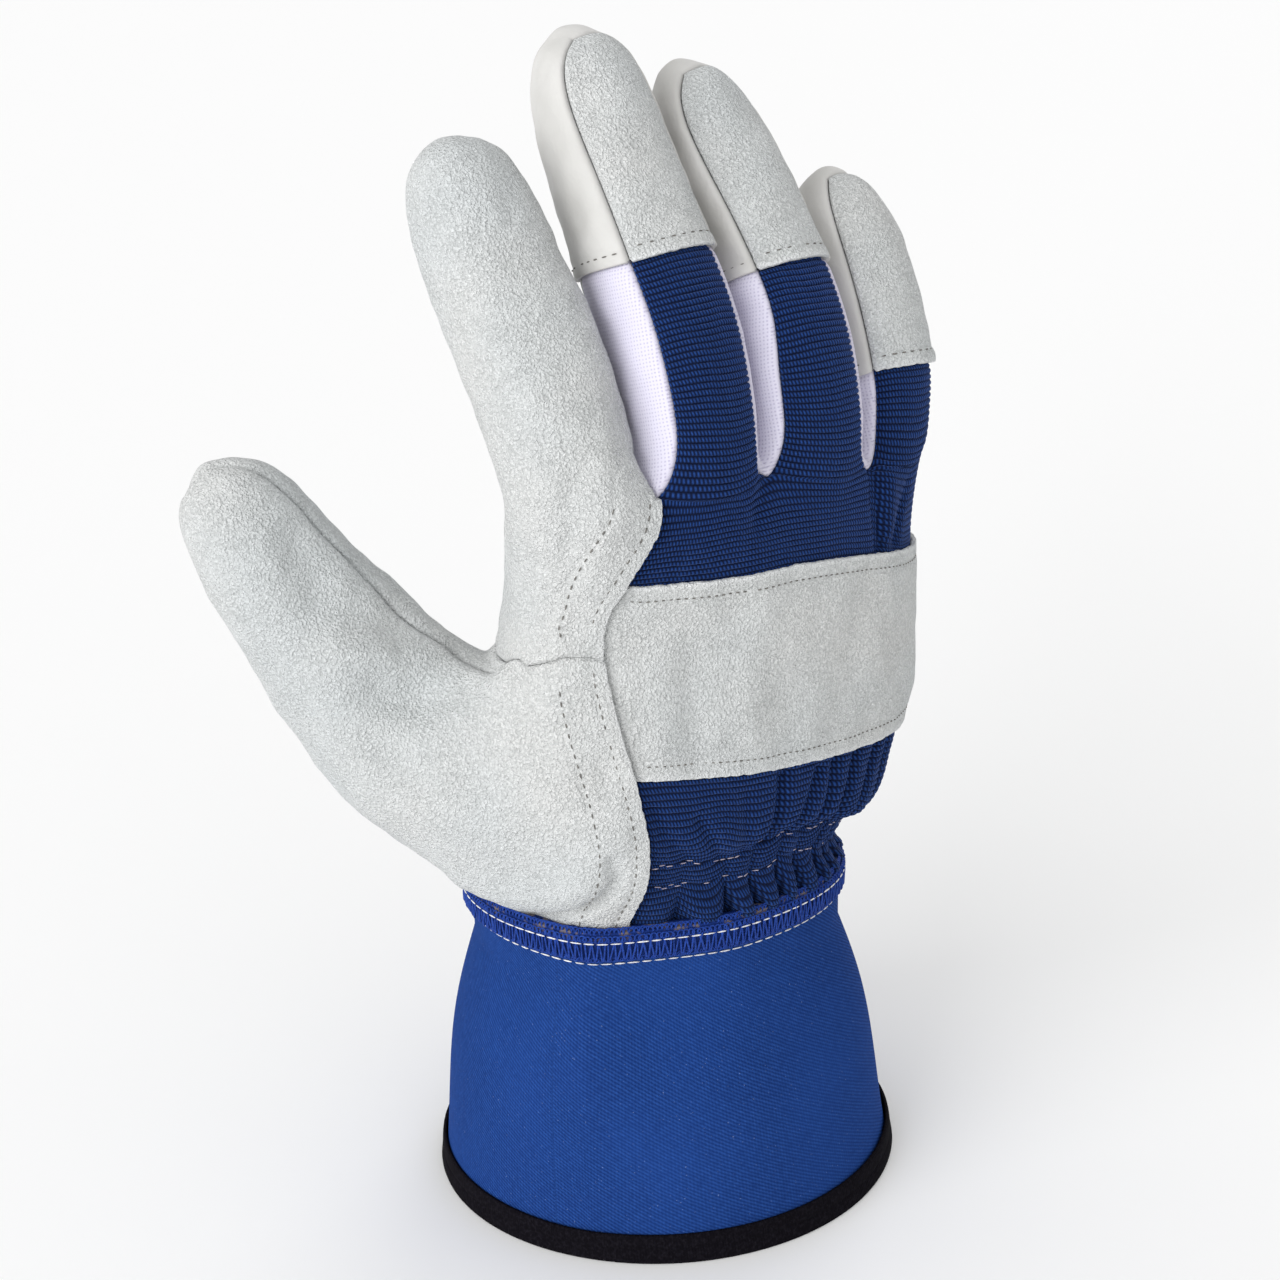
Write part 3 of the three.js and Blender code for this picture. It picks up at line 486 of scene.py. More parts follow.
class Panel:
    """One panel of the glove: fine points over its part of the skin, with its edges sorted by neighbour."""

    def __init__(self, name, steps, also=()):
        self.name, self.steps = name, steps
        hand = skin()
        names = (name,) + tuple(also)
        self.quads = [q for q, p in enumerate(hand.panels) if p in names]
        grid, facing = hand.patches(self.quads, steps)
        self.ids, count = self.number(hand)
        self.points = np.zeros((count, 3))
        self.normals = np.zeros((count, 3))
        self.points[self.ids.ravel()] = grid.reshape(-1, 3)
        self.normals[self.ids.ravel()] = facing.reshape(-1, 3)
        ids = self.ids
        cells = (ids[:, :-1, :-1], ids[:, 1:, :-1], ids[:, 1:, 1:], ids[:, :-1, 1:])
        self.faces = np.stack(cells, -1).reshape(-1, 4)
        self.find_edges(hand, names)

    def number(self, hand):
        """An index for each grid point, the same for two quads that share it."""
        steps = self.steps
        ids = -np.ones((len(self.quads), steps + 1, steps + 1), int)
        count, corner, edge = 0, {}, {}
        run = np.arange(1, steps)
        for n, q in enumerate(self.quads):
            a, b, c, d = hand.corners[q]
            for vertex, (i, j) in zip((a, b, c, d), ((0, 0), (-1, 0), (-1, -1), (0, -1))):
                if vertex not in corner:
                    corner[vertex] = count
                    count += 1
                ids[n, i, j] = corner[vertex]
            sides = (((a, b), (run, 0)), ((d, c), (run, -1)), ((a, d), (0, run)), ((b, c), (-1, run)))
            for (p, r), where in sides:
                key = (min(p, r), max(p, r))
                if key not in edge:
                    edge[key] = np.arange(count, count + steps - 1)
                    count += steps - 1
                ids[(n,) + where] = edge[key] if p < r else edge[key][::-1]
            ids[n, 1:-1, 1:-1] = np.arange(count, count + (steps - 1) ** 2).reshape(steps - 1, -1)
            count += (steps - 1) ** 2
        return ids, count

    def find_edges(self, hand, names):
        """Sorts the rim by neighbour, and finds the way inwards from each point of it."""
        owners = {}
        for corners, panel in zip(hand.corners, hand.panels):
            for n in range(4):
                owners.setdefault(frozenset((corners[n], corners[(n + 1) % 4])), []).append(panel)
        self.rim, neighbours = [], {}
        for n, q in enumerate(self.quads):
            corners = hand.corners[q]
            ids = self.ids[n]
            for side, line in enumerate((ids[:, 0], ids[-1, :], ids[::-1, -1], ids[0, ::-1])):
                sharing = owners[frozenset((corners[side], corners[(side + 1) % 4]))]
                others = [p for p in sharing if p not in names]
                if len(sharing) - len(others) > 1:
                    continue
                other = others[0] if others else "open"
                self.rim.append((line, other))
                neighbours.setdefault(other, []).append(line)
        self.edge_points = {other: np.unique(np.concatenate(lines)) for other, lines in neighbours.items()}
        pull = np.zeros((len(self.points), 3))
        for line, _ in self.rim:
            run = self.points[line[1:]] - self.points[line[:-1]]
            for ends in (line[1:], line[:-1]):
                np.add.at(pull, ends, unit(np.cross(self.normals[ends], run)))
        length = np.linalg.norm(pull, axis=1)
        edge = length > 1e-6
        self.pull = np.zeros_like(pull)
        self.pull[edge] = pull[edge] / length[edge, None]

    def distance(self, others):
        """How far each point lies from the edges shared with these neighbours, up to REACH."""
        spots = [self.edge_points[o] for o in self.edge_points if o in others]
        distance = np.full(len(self.points), REACH)
        if spots:
            near, far = nearby(self.points, self.points[np.concatenate(spots)], REACH)
            distance[near] = np.minimum(far, REACH)
        return distance

    def chains(self, others):
        """The edge towards these neighbours as runs of connected points."""
        after = {}
        for line, other in self.rim:
            if other in others:
                after.update(zip(line[:-1].tolist(), line[1:].tolist()))
        starts = [a for a in after if a not in set(after.values())] or list(after)[:1]
        runs = []
        for start in starts:
            run = [start]
            while run[-1] in after and len(run) <= len(after):
                run.append(after[run[-1]])
            runs.append(np.array(run))
        return runs


def kin(panel):
    """The short name that seams between like panels go by."""
    return panel.split("_")[0] if panel.startswith(("cap_", "gusset_")) else panel


def roll_of(a, b):
    for key in ((a, b), (b, a), (kin(a), kin(b)), (kin(b), kin(a))):
        if key in ROLLS:
            return ROLLS[key]
    return ROLL


def joint(panel, other):
    """How a panel meets its neighbour: it laps over it, lies under it, or turns into a seam with it."""
    if other == "open":
        return "open"
    if panel in LEATHERS and other in CLOTH:
        return "over"
    if panel in CLOTH and other in LEATHERS:
        return "under"
    if panel == "knuckle_strap" and other == "back_knit":
        return "over"
    if panel.startswith("gusset") and other.startswith("fork"):
        return "over"
    if panel.startswith("fork") and other.startswith("gusset"):
        return "under"
    return "turned"


def rolled(distance, depth, width):
    """Height lost where a turned edge rolls down into its seam, a quarter of a circle."""
    s = np.clip(distance / width, 0, 1)
    return depth * (1 - np.sqrt(np.clip(1 - (1 - s) ** 2, 0, 1)))


def eased(distance, width):
    """Rises smoothly from 0 to 1 over the width."""
    s = np.clip(distance / width, 0, 1)
    return s * s * (3 - 2 * s)


def dip(distance, at, width):
    """A smooth bump of height 1 at one distance, gone about two widths away."""
    return np.exp(-((distance - at) / width) ** 2)


def ruffle(points, wavelength, seed, waves=26):
    """A smooth random height in -1..1: plane waves of about one length in seeded directions."""
    random = np.random.default_rng(seed)
    total = np.zeros(len(points))
    for _ in range(waves):
        direction = unit(random.normal(size=3))
        length = wavelength * random.uniform(0.7, 1.5)
        total += np.sin(points @ direction * 2 * math.pi / length + random.uniform(0, 2 * math.pi))
    return total / math.sqrt(waves)


def furrowed(points, groups):
    """Height lost to the soft furrows that cross these points."""
    total = np.zeros(len(points))
    for furrow in FURROWS:
        if furrow["piece"] in groups:
            total += furrow["depth"] * dip(way_off(points, furrow["way"]), 0, furrow["width"])
    return total


def lookup(points):
    """A tree that finds the point nearest to a place."""
    tree = kdtree.KDTree(len(points))
    for n, point in enumerate(points):
        tree.insert(point, n)
    tree.balance()
    return tree


def nearby(points, spots, reach):
    """Which points lie in the box that reaches this far beyond the spots, and how far from the spots."""
    tree = lookup(spots)
    low, high = spots.min(0) - reach, spots.max(0) + reach
    near = np.flatnonzero(((points > low) & (points < high)).all(1))
    return near, np.array([tree.find(points[n])[2] for n in near])


def way_off(points, way):
    """How far points lie from a way given by its corners."""
    way = np.array(way, float)
    nearest = np.full(len(points), 1e9)
    for a, b in zip(way[:-1], way[1:]):
        run = b - a
        share = np.clip(((points - a) @ run) / (run @ run), 0, 1)
        nearest = np.minimum(nearest, np.linalg.norm(points - a - share[:, None] * run, axis=1))
    return nearest


# ---------------------------------------------------------------- meshes

def mesh_of(name, points, edges, faces, **vectors):
    """A mesh from points in millimetres, with attributes that hold a vector for each point."""
    mesh = bpy.data.meshes.new(name)
    mesh.from_pydata((np.asarray(points) * MM).tolist(), edges, faces)
    for key, values in vectors.items():
        attribute = mesh.attributes.new(key, "FLOAT_VECTOR", "POINT")
        attribute.data.foreach_set("vector", np.asarray(values, np.float32).ravel())
    return mesh


def linked(name, data):
    made = bpy.data.objects.new(name, data)
    bpy.context.scene.collection.objects.link(made)
    return made


def make_object(name, points, faces, material, cloth=None, smooth=True):
    mesh = mesh_of(name, points, [], faces, **({} if cloth is None else {"cloth": cloth}))
    if smooth:
        mesh.shade_smooth()
    mesh.materials.append(material)
    return linked(name, mesh)


def place(piece, slot, *nodes):
    """Says what body a piece rides on and what it replaces; slot is not used."""
    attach(piece, BODY)
    if nodes:
        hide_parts(*nodes)


def settle(piece):
    """Turns what the modifiers make of a piece into its plain mesh."""
    graph = bpy.context.evaluated_depsgraph_get()
    mesh = bpy.data.meshes.new_from_object(piece.evaluated_get(graph))
    piece.modifiers.clear()
    old = piece.data
    piece.data = mesh
    bpy.data.meshes.remove(old)


def edge_profile(kind, thickness):
    """Rings down a panel's edge, as (inward, drop) from its outer face's last line."""
    if kind in ("over", "open"):
        return (-0.16, 0.06), (-0.25, 0.25), (-0.25, thickness - 0.25), (-0.1, thickness - 0.05)
    return (0.02, 0.3), (0.05, thickness * 0.45), (0.1, thickness - 0.3), (0.16, thickness - 0.06)


def wall(panel, height, thickness, coarse, fray=0.0):
    """The outer face at its height over the skin, a rounded edge and a coarser inner face.

    fray is how far, in millimetres, an edge that laps over its neighbour strays from its line.
    """
    kinds = {int(i): joint(panel.name, other) for line, other in panel.rim for i in line}
    stray = fray * ruffle(panel.points, FRAY_LENGTH, 17)
    shift = np.zeros(len(panel.points))
    for i, kind in kinds.items():
        shift[i] = stray[i] - LAP if kind == "over" else SET_BACK
    outer = panel.points + panel.normals * height[:, None] + panel.pull * shift[:, None]
    points = [outer]
    count = len(outer)
    faces = panel.faces.tolist()
    rim = np.array(sorted(kinds))
    profiles = np.array([edge_profile(kinds[i], thickness) for i in rim.tolist()])
    rings = []
    for step in range(EDGE_RINGS):
        inward, drop = profiles[:, step, :1], profiles[:, step, 1:]
        points.append(outer[rim] + panel.pull[rim] * inward - panel.normals[rim] * drop)
        rings.append(dict(zip(rim.tolist(), range(count, count + len(rim)))))
        count += len(rim)
    stride = panel.steps // coarse
    lining = panel.ids[:, ::stride, ::stride]
    used = np.unique(lining)
    inner = dict(zip(used.tolist(), range(count, count + len(used))))
    base = np.minimum(height[used], np.median(height))
    sunk = panel.normals[used] * (base - thickness)[:, None]
    points.append(panel.points[used] + sunk + panel.pull[used] * LINING_INSET)
    cells = np.stack([lining[:, :-1, :-1], lining[:, :-1, 1:], lining[:, 1:, 1:], lining[:, 1:, :-1]], -1)
    faces += [[inner[i] for i in cell] for cell in cells.reshape(-1, 4).tolist()]
    for line, _ in panel.rim:
        line = line.tolist()
        for a, b in zip(line[:-1], line[1:]):
            faces.append([b, a, rings[0][a], rings[0][b]])
            for upper, lower in zip(rings[:-1], rings[1:]):
                faces.append([upper[b], upper[a], lower[a], lower[b]])
        for n in range(coarse):
            part = line[n * stride:(n + 1) * stride + 1]
            faces.append([rings[-1][i] for i in reversed(part)] + [inner[part[0]], inner[part[-1]]])
    return np.concatenate(points), faces, outer


def cut_rim(panel, points):
    """cloth.x for a wall's points: 1 along the cut edges that lap over a neighbour, else 0."""
    rim = np.unique(np.concatenate([line for line, _ in panel.rim]))
    over = [line for line, other in panel.rim if joint(panel.name, other) == "over"]
    lapped = np.isin(rim, np.concatenate(over)) if over else np.zeros(len(rim), bool)
    cloth = np.zeros((len(points), 3))
    cloth[rim[lapped], 0] = 1
    for ring in range(EDGE_RINGS):
        cloth[len(panel.points) + ring * len(rim) + np.flatnonzero(lapped), 0] = 1
    return cloth


def clad(title, panel, height, thickness, coarse, look, slot, fray=0.0, cloth=None):
    """Makes a panel's piece, and keeps its outer face so that stitches can be laid on it."""
    points, faces, outer = wall(panel, height, thickness, coarse, fray)
    piece = make_object(title, points, faces, look, cloth and cloth(panel, points))
    place(piece, slot, panel.name)
    _shared[panel.name] = (panel, outer, lookup(outer))


def leather_height(panel, sizes, seed):
    """The outer face of a leather panel over the skin: its edges, seams, furrows and soft wrinkles."""
    height = np.full(len(panel.points), PROUD)
    near = np.full(len(panel.points), REACH)
    for other in panel.edge_points:
        kind = joint(panel.name, other)
        distance = panel.distance((other,))
        near = np.minimum(near, distance)
        if kind == "turned":
            depth, width = roll_of(panel.name, other)
            height -= rolled(distance, depth, width)
        elif kind == "over":
            lift = STRAP_LIFT if other == "knuckle_strap" else KNIT_LIFT
            height += lift * (1 - eased(distance, 6.0))
            height -= 0.2 * dip(distance, EDGE_ROW + 0.2, 0.6)
            if panel.name in TWICE_SEWN:
                height -= 0.22 * dip(distance, FAR_ROW + 0.2, 0.55)
    calm = eased(near, 5.0)
    height += sizes.wrinkle / MM * ruffle(panel.points, 17.0, seed) * calm
    height += 0.09 * ruffle(panel.points, 5.0, seed + 40) * (0.4 + 0.6 * calm)
    height += 0.10 * ruffle(panel.points, 6.0, seed + 80) * np.exp(-near / 6.0) * eased(near, 1.0)
    return height - furrowed(panel.points, (panel.name,))


# ---------------------------------------------------------------- materials

def linear(code):
    """sRGB hex to linear colour with alpha."""
    channels = [int(code[n:n + 2], 16) / 255 for n in (1, 3, 5)]
    return tuple(c / 12.92 if c <= 0.04045 else ((c + 0.055) / 1.055) ** 2.4 for c in channels) + (1.0,)


def node(tree, kind, inputs=(), **settings):
    """Adds a node with its settings. An input is a value, or the socket or node that feeds it.

    A node feeds it by the first of its outputs that is in use.
    """
    made = tree.nodes.new(kind)
    for key, value in settings.items():
        setattr(made, key, value)
    for key, value in dict(inputs).items():
        if isinstance(value, bpy.types.Node):
            value = next(socket for socket in value.outputs if socket.enabled)
        if isinstance(value, bpy.types.NodeSocket):
            tree.links.new(value, made.inputs[key])
        else:
            made.inputs[key].default_value = value
    return made


def material(name):
    made = bpy.data.materials.new(name)
    made.use_nodes = True
    made.node_tree.nodes.clear()
    return made, made.node_tree


def patterned(name):
    """A material, its tree and the place on the piece that its patterns go by."""
    made, tree = material(name)
    return made, tree, node(tree, "ShaderNodeTexCoord").outputs["Object"]


def cloth_axes(tree):
    """The axes of the cloth places that a piece carries."""
    cloth = node(tree, "ShaderNodeAttribute", attribute_name="cloth")
    return node(tree, "ShaderNodeSeparateXYZ", {0: cloth.outputs["Vector"]}).outputs


def surface(made, colour, relief, strength, deep, **shader):
    """Ends a material: bump of this strength and depth in metres, shader and output."""
    tree = made.node_tree
    bump = node(tree, "ShaderNodeBump", {"Height": relief, "Strength": strength, "Distance": deep})
    inputs = {key.replace("_", " ").title().replace("Ior", "IOR"): value for key, value in shader.items()}
    shaded = node(tree, "ShaderNodeBsdfPrincipled", {"Base Color": colour, "Normal": bump, **inputs})
    node(tree, "ShaderNodeOutputMaterial", {"Surface": shaded})
    return made


def split_suede(colours):
    """Chrome-tanned split cowhide with a buffed, short nap.

    Buffing leaves loose fibre ends in small tufts with pits between them, whose shade is painted
    darker; the colour itself hardly changes, only a faint cool cast comes and goes where the nap lies another
    way.
    """
    made, tree, where = patterned("split_suede")
    # Tufts of nap are 0.2 to 0.5 mm; they are drawn at about 0.6 mm so that they show.
    stray = node(tree, "ShaderNodeTexNoise", {"Vector": where, "Scale": 1700.0, "Detail": 1.0})
    strayed = node(tree, "ShaderNodeVectorMath", {0: stray.outputs["Color"], 1: (0.0006,) * 3, 2: where},
                   operation="MULTIPLY_ADD")
    tuft = node(tree, "ShaderNodeTexVoronoi", {"Vector": strayed, "Scale": 1700.0, "Smoothness": 0.35},
                feature="SMOOTH_F1")
    fibre = node(tree, "ShaderNodeTexNoise", {"Vector": where, "Scale": 2900.0, "Detail": 2.0,
                                              "Roughness": 0.6, "Distortion": 0.15})
    lie = node(tree, "ShaderNodeTexNoise", {"Vector": where, "Scale": 26.0, "Detail": 2.0, "Roughness": 0.5})
    # This noise sets, patch by patch, how dark the painted shade in the pits is.
    pit_shade_patches = node(tree, "ShaderNodeTexNoise", {"Vector": where, "Scale": 150.0, "Detail": 3.0,
                                             "Roughness": 0.6})
    lie_level = node(tree, "ShaderNodeMapRange", {"Value": lie, "From Min": 0.36, "From Max": 0.64})
    pit = node(tree, "ShaderNodeMapRange", {"Value": tuft, "From Min": 0.28, "From Max": 0.6})
    tip = node(tree, "ShaderNodeMapRange", {"Value": fibre, "From Min": 0.5, "From Max": 0.72})
    depth = node(tree, "ShaderNodeMapRange", {"Value": pit_shade_patches, "From Min": 0.35, "From Max": 0.65,
                                              "To Min": 0.24, "To Max": 0.42})
    # Painted shade: the nap is mixed towards dark grey in the pits between the tufts.
    shade = node(tree, "ShaderNodeMath", {0: pit, 1: depth}, operation="MULTIPLY")
    ground = node(tree, "ShaderNodeMix", {"Factor": lie_level, 6: colours.suede_shade, 7: colours.suede},
                  data_type="RGBA")
    nap = node(tree, "ShaderNodeMix", {"Factor": shade, 6: ground, 7: linear("#8b8f8e")}, data_type="RGBA")
    tips = node(tree, "ShaderNodeMath", {0: tip, 1: 0.32}, operation="MULTIPLY")
    napped = node(tree, "ShaderNodeMix", {"Factor": tips, 6: nap, 7: linear("#f1f4f5")}, data_type="RGBA")
    # cloth.x is 1 along a cut edge, where the colour is mixed towards a pale grey.
    cut = node(tree, "ShaderNodeMath", {0: cloth_axes(tree)["X"], 1: 0.45}, operation="MULTIPLY")
    colour = node(tree, "ShaderNodeMix", {"Factor": cut, 6: napped, 7: linear("#f4f6f7")}, data_type="RGBA")
    relief = node(tree, "ShaderNodeMath", {0: tuft, 1: -0.9, 2: fibre}, operation="MULTIPLY_ADD")
    return surface(made, colour, relief, 0.9, 0.0008, roughness=0.96, specular_ior_level=0.15,
                   sheen_weight=0.2, sheen_roughness=0.5)


def grain_leather(colours):
    """Drum-dyed grain cowhide, plated smooth and lightly finished.

    The finish gives a low, even sheen over a shallow pebble with fine creases.
    """
    made, tree, where = patterned("grain_leather")
    # The pebble of the grain is 0.3 to 0.6 mm across; it is drawn at about 0.8 mm so that it shows.
    pebble = node(tree, "ShaderNodeTexVoronoi", {"Vector": where, "Scale": 1250.0, "Smoothness": 0.6},
                  feature="SMOOTH_F1")
    crease = node(tree, "ShaderNodeTexNoise", {"Vector": where, "Scale": 260.0, "Detail": 4.0,
                                               "Roughness": 0.6, "Distortion": 0.8})
    cloud = node(tree, "ShaderNodeTexNoise", {"Vector": where, "Scale": 60.0, "Detail": 2.0})
    relief = node(tree, "ShaderNodeMath", {0: pebble, 1: 0.35, 2: crease}, operation="MULTIPLY_ADD")
    level = node(tree, "ShaderNodeMapRange", {"Value": cloud, "From Min": 0.35, "From Max": 0.65})
    colour = node(tree, "ShaderNodeMix", {"Factor": level, 6: colours.grain, 7: linear("#c0bfbc")},
                  data_type="RGBA")
    return surface(made, colour, relief, 0.35, 0.0003, roughness=0.58, specular_ior_level=0.4)


def elastic_rib_knit(colours):
    """Weft-knitted polyester rib with elastic, dyed navy.

    Each raised rib is a cord of slanted loops, so it glints in short beads, painted as highlights; the ground
    between the ribs lies in shadow, painted almost black, about as wide as the rib.
    """
    made, tree, where = patterned("elastic_rib_knit")
    axes = cloth_axes(tree)
    # cloth.x is in millimetres across the back, cloth.y in ribs along it.
    turn = node(tree, "ShaderNodeMath", {0: axes["Y"]}, operation="FRACT")
    middle = node(tree, "ShaderNodeMath", {0: turn, 1: 0.5}, operation="SUBTRACT")
    off = node(tree, "ShaderNodeMath", {0: middle}, operation="ABSOLUTE")
    crest = node(tree, "ShaderNodeMapRange", {"Value": off, "From Min": 0.18, "From Max": 0.5, "To Min": 1.0,
                                              "To Max": 0.0}, interpolation_type="SMOOTHSTEP")
    # The knit's own loops are 0.5 mm wide; they are drawn 0.72 mm wide so that they show.
    slant = node(tree, "ShaderNodeMath", {0: middle, 1: 0.5}, operation="MULTIPLY")
    lean = node(tree, "ShaderNodeMath", {0: axes["X"], 1: 1 / 0.72, 2: slant}, operation="MULTIPLY_ADD")
    wave = node(tree, "ShaderNodeMath", {0: lean, 1: 2 * math.pi}, operation="MULTIPLY")
    loops = node(tree, "ShaderNodeMath", {0: wave}, operation="SINE")
    bead = node(tree, "ShaderNodeMapRange", {"Value": loops, "From Min": -0.8, "From Max": 0.7})
    fuzz = node(tree, "ShaderNodeTexNoise", {"Vector": where, "Scale": 1900.0, "Detail": 2.0,
                                             "Roughness": 0.6})
    glint = node(tree, "ShaderNodeMapRange", {"Value": fuzz, "From Min": 0.3, "From Max": 0.7,
                                              "To Min": 0.45})
    lit = node(tree, "ShaderNodeMath", {0: bead, 1: glint}, operation="MULTIPLY")
    # Painted highlight: lit beads of the rib are mixed towards a paler blue.
    yarn = node(tree, "ShaderNodeMix", {"Factor": lit, 6: colours.knit, 7: linear("#244789")},
                data_type="RGBA")
    full = node(tree, "ShaderNodeMapRange", {"Value": bead, "To Min": 0.42})
    raised = node(tree, "ShaderNodeMath", {0: crest, 1: full}, operation="MULTIPLY")
    # Painted shade: the ground between the ribs, and between the beads, is mixed towards near black.
    colour = node(tree, "ShaderNodeMix", {"Factor": raised, 6: linear("#0a112a"), 7: yarn}, data_type="RGBA")
    rope = node(tree, "ShaderNodeMath", {0: bead, 1: 0.5, 2: crest}, operation="MULTIPLY_ADD")
    relief = node(tree, "ShaderNodeMath", {0: fuzz, 1: 0.4, 2: rope}, operation="MULTIPLY_ADD")
    return surface(made, colour, relief, 0.8, 0.00025, roughness=0.8, specular_ior_level=0.08,
                   sheen_weight=0.5, sheen_roughness=0.4, sheen_tint=linear("#6784cc"))


def cotton_interlock(colours):
    """Fine white cotton interlock knit with a faint lilac cast from optical brightener.

    Its face is a grid of tiny loops with a pinhole between each four.
    """
    made, tree, where = patterned("cotton_interlock")
    cloth = node(tree, "ShaderNodeAttribute", attribute_name="cloth")
    # The loops are 0.4 to 0.5 mm; they are drawn at 0.7 mm so that they show.
    scaled = node(tree, "ShaderNodeVectorMath", {0: cloth.outputs["Vector"], 1: (1 / 0.7, 1 / 0.75, 0)},
                  operation="MULTIPLY")
    cells = node(tree, "ShaderNodeTexVoronoi", {"Vector": scaled, "Scale": 1.0, "Randomness": 0.12})
    fuzz = node(tree, "ShaderNodeTexNoise", {"Vector": where, "Scale": 1800.0, "Detail": 2.0})
    hole = node(tree, "ShaderNodeMapRange", {"Value": cells, "From Min": 0.08, "From Max": 0.34})
    # Painted shade: each pinhole is mixed towards a darker lilac grey.
    colour = node(tree, "ShaderNodeMix", {"Factor": hole, 6: linear("#b9b5cc"), 7: colours.fork},
                  data_type="RGBA")
    relief = node(tree, "ShaderNodeMath", {0: fuzz, 1: 0.5, 2: hole}, operation="MULTIPLY_ADD")
    return surface(made, colour, relief, 0.45, 0.0002, roughness=0.92, specular_ior_level=0.2,
                   sheen_weight=0.15)


def rubberised_drill(colours):
    """Royal blue cotton drill, laminated to a rubber backing.

    The three-up twill shows as fine diagonal cords with slubs, and lint and abrasion leave pale
    flecks; the backing keeps it stiff and smooth.
    """
    made, tree, where = patterned("rubberised_drill")
    axes = cloth_axes(tree)
    # Cords of drill lie 0.5 mm apart; they are drawn 0.7 mm apart so that they show.
    rise = node(tree, "ShaderNodeMath", {0: axes["X"], 1: 0.62, 2: axes["Y"]}, operation="MULTIPLY_ADD")
    wobble = node(tree, "ShaderNodeTexNoise", {"Vector": where, "Scale": 500.0, "Detail": 2.0})
    bent = node(tree, "ShaderNodeMath", {0: wobble, 1: 0.3, 2: rise}, operation="MULTIPLY_ADD")
    wave = node(tree, "ShaderNodeMath", {0: bent, 1: 2 * math.pi / 0.85}, operation="MULTIPLY")
    cords = node(tree, "ShaderNodeMath", {0: wave}, operation="SINE")
    warp = node(tree, "ShaderNodeMath", {0: axes["X"], 1: 2 * math.pi / 0.7}, operation="MULTIPLY")
    threads = node(tree, "ShaderNodeMath", {0: warp}, operation="SINE")
    weave = node(tree, "ShaderNodeMath", {0: threads, 1: 0.35, 2: cords}, operation="MULTIPLY_ADD")
    slub = node(tree, "ShaderNodeTexNoise", {"Vector": where, "Scale": 900.0, "Detail": 2.0,
                                             "Roughness": 0.7})
    fleck = node(tree, "ShaderNodeTexNoise", {"Vector": where, "Scale": 2300.0, "Detail": 1.0})
    cloud = node(tree, "ShaderNodeTexNoise", {"Vector": where, "Scale": 30.0, "Detail": 3.0})
    weave_level = node(tree, "ShaderNodeMapRange", {"Value": weave, "From Min": -1.3, "From Max": 1.3})
    # The cords are paler and the grooves darker, partly the twill's own tone and partly painted light and
    # shade on its relief.
    lit = node(tree, "ShaderNodeMath", {0: weave_level, 1: slub}, operation="MULTIPLY")
    deep = node(tree, "ShaderNodeMix", {"Factor": 0.55, 6: colours.drill, 7: linear("#10234f")},
                data_type="RGBA")
    pale = node(tree, "ShaderNodeMix", {"Factor": 0.5, 6: colours.drill, 7: linear("#3f6fc4")},
                data_type="RGBA")
    ground = node(tree, "ShaderNodeMix", {"Factor": lit, 6: deep, 7: pale}, data_type="RGBA")
    cloudy = node(tree, "ShaderNodeMapRange", {"Value": cloud, "From Min": 0.4, "From Max": 0.7,
                                               "To Max": 0.3})
    faded = node(tree, "ShaderNodeMix", {"Factor": cloudy, 6: ground, 7: linear("#234892")}, data_type="RGBA")
    specks = node(tree, "ShaderNodeMapRange", {"Value": fleck, "From Min": 0.73, "From Max": 0.82,
                                               "To Max": 0.3})
    colour = node(tree, "ShaderNodeMix", {"Factor": specks, 6: faded, 7: linear("#a9bfe8")}, data_type="RGBA")
    relief = node(tree, "ShaderNodeMath", {0: slub, 1: 0.8, 2: weave_level}, operation="MULTIPLY_ADD")
    return surface(made, colour, relief, 0.4, 0.0002, roughness=0.85, specular_ior_level=0.03,
                   sheen_weight=0.06, sheen_roughness=0.35, sheen_tint=linear("#3f6fd0"))


def woven_tape(colours):
    """Black cotton twill tape, folded over the hem and pressed.

    A close weave with fine dust-pale lint, faintly ribbed across its width.
    """
    made, tree, where = patterned("woven_tape")
    axes = cloth_axes(tree)
    # The weave is 0.3 mm; it is drawn at 0.6 mm so that it shows.
    across = node(tree, "ShaderNodeMath", {0: axes["X"], 1: 2 * math.pi / 0.6, 2: axes["Y"]},
                  operation="MULTIPLY_ADD")
    weave = node(tree, "ShaderNodeMath", {0: across}, operation="SINE")
    lint = node(tree, "ShaderNodeTexNoise", {"Vector": where, "Scale": 1400.0, "Detail": 2.0,
                                             "Roughness": 0.7})
    level = node(tree, "ShaderNodeMapRange", {"Value": lint, "From Min": 0.45, "From Max": 0.75})
    colour = node(tree, "ShaderNodeMix", {"Factor": level, 6: colours.tape, 7: linear("#1c1a20")},
                  data_type="RGBA")
    relief = node(tree, "ShaderNodeMath", {0: weave, 1: 0.3, 2: lint}, operation="MULTIPLY_ADD")
    return surface(made, colour, relief, 0.5, 0.0002, roughness=0.85, specular_ior_level=0.03)


def spun_thread(name, colour, shade, sheen):
    """Sewing thread of spun or textured polyester, two plies twisted together.

    The twist breaks its surface into short light and dark turns, painted as highlight and shade on the
    thread.
    """
    made, tree, where = patterned(name)
    # A turn of the ply is 0.3 mm; it is drawn at about 0.5 mm so that it shows.
    ply = node(tree, "ShaderNodeTexNoise", {"Vector": where, "Scale": 2200.0, "Detail": 2.0})
    level = node(tree, "ShaderNodeMapRange", {"Value": ply, "From Min": 0.35, "From Max": 0.65})
    mixed = node(tree, "ShaderNodeMix", {"Factor": level, 6: shade, 7: colour}, data_type="RGBA")
    return surface(made, mixed, ply, 0.4, 0.0001, roughness=0.7, specular_ior_level=0.15, sheen_weight=sheen)


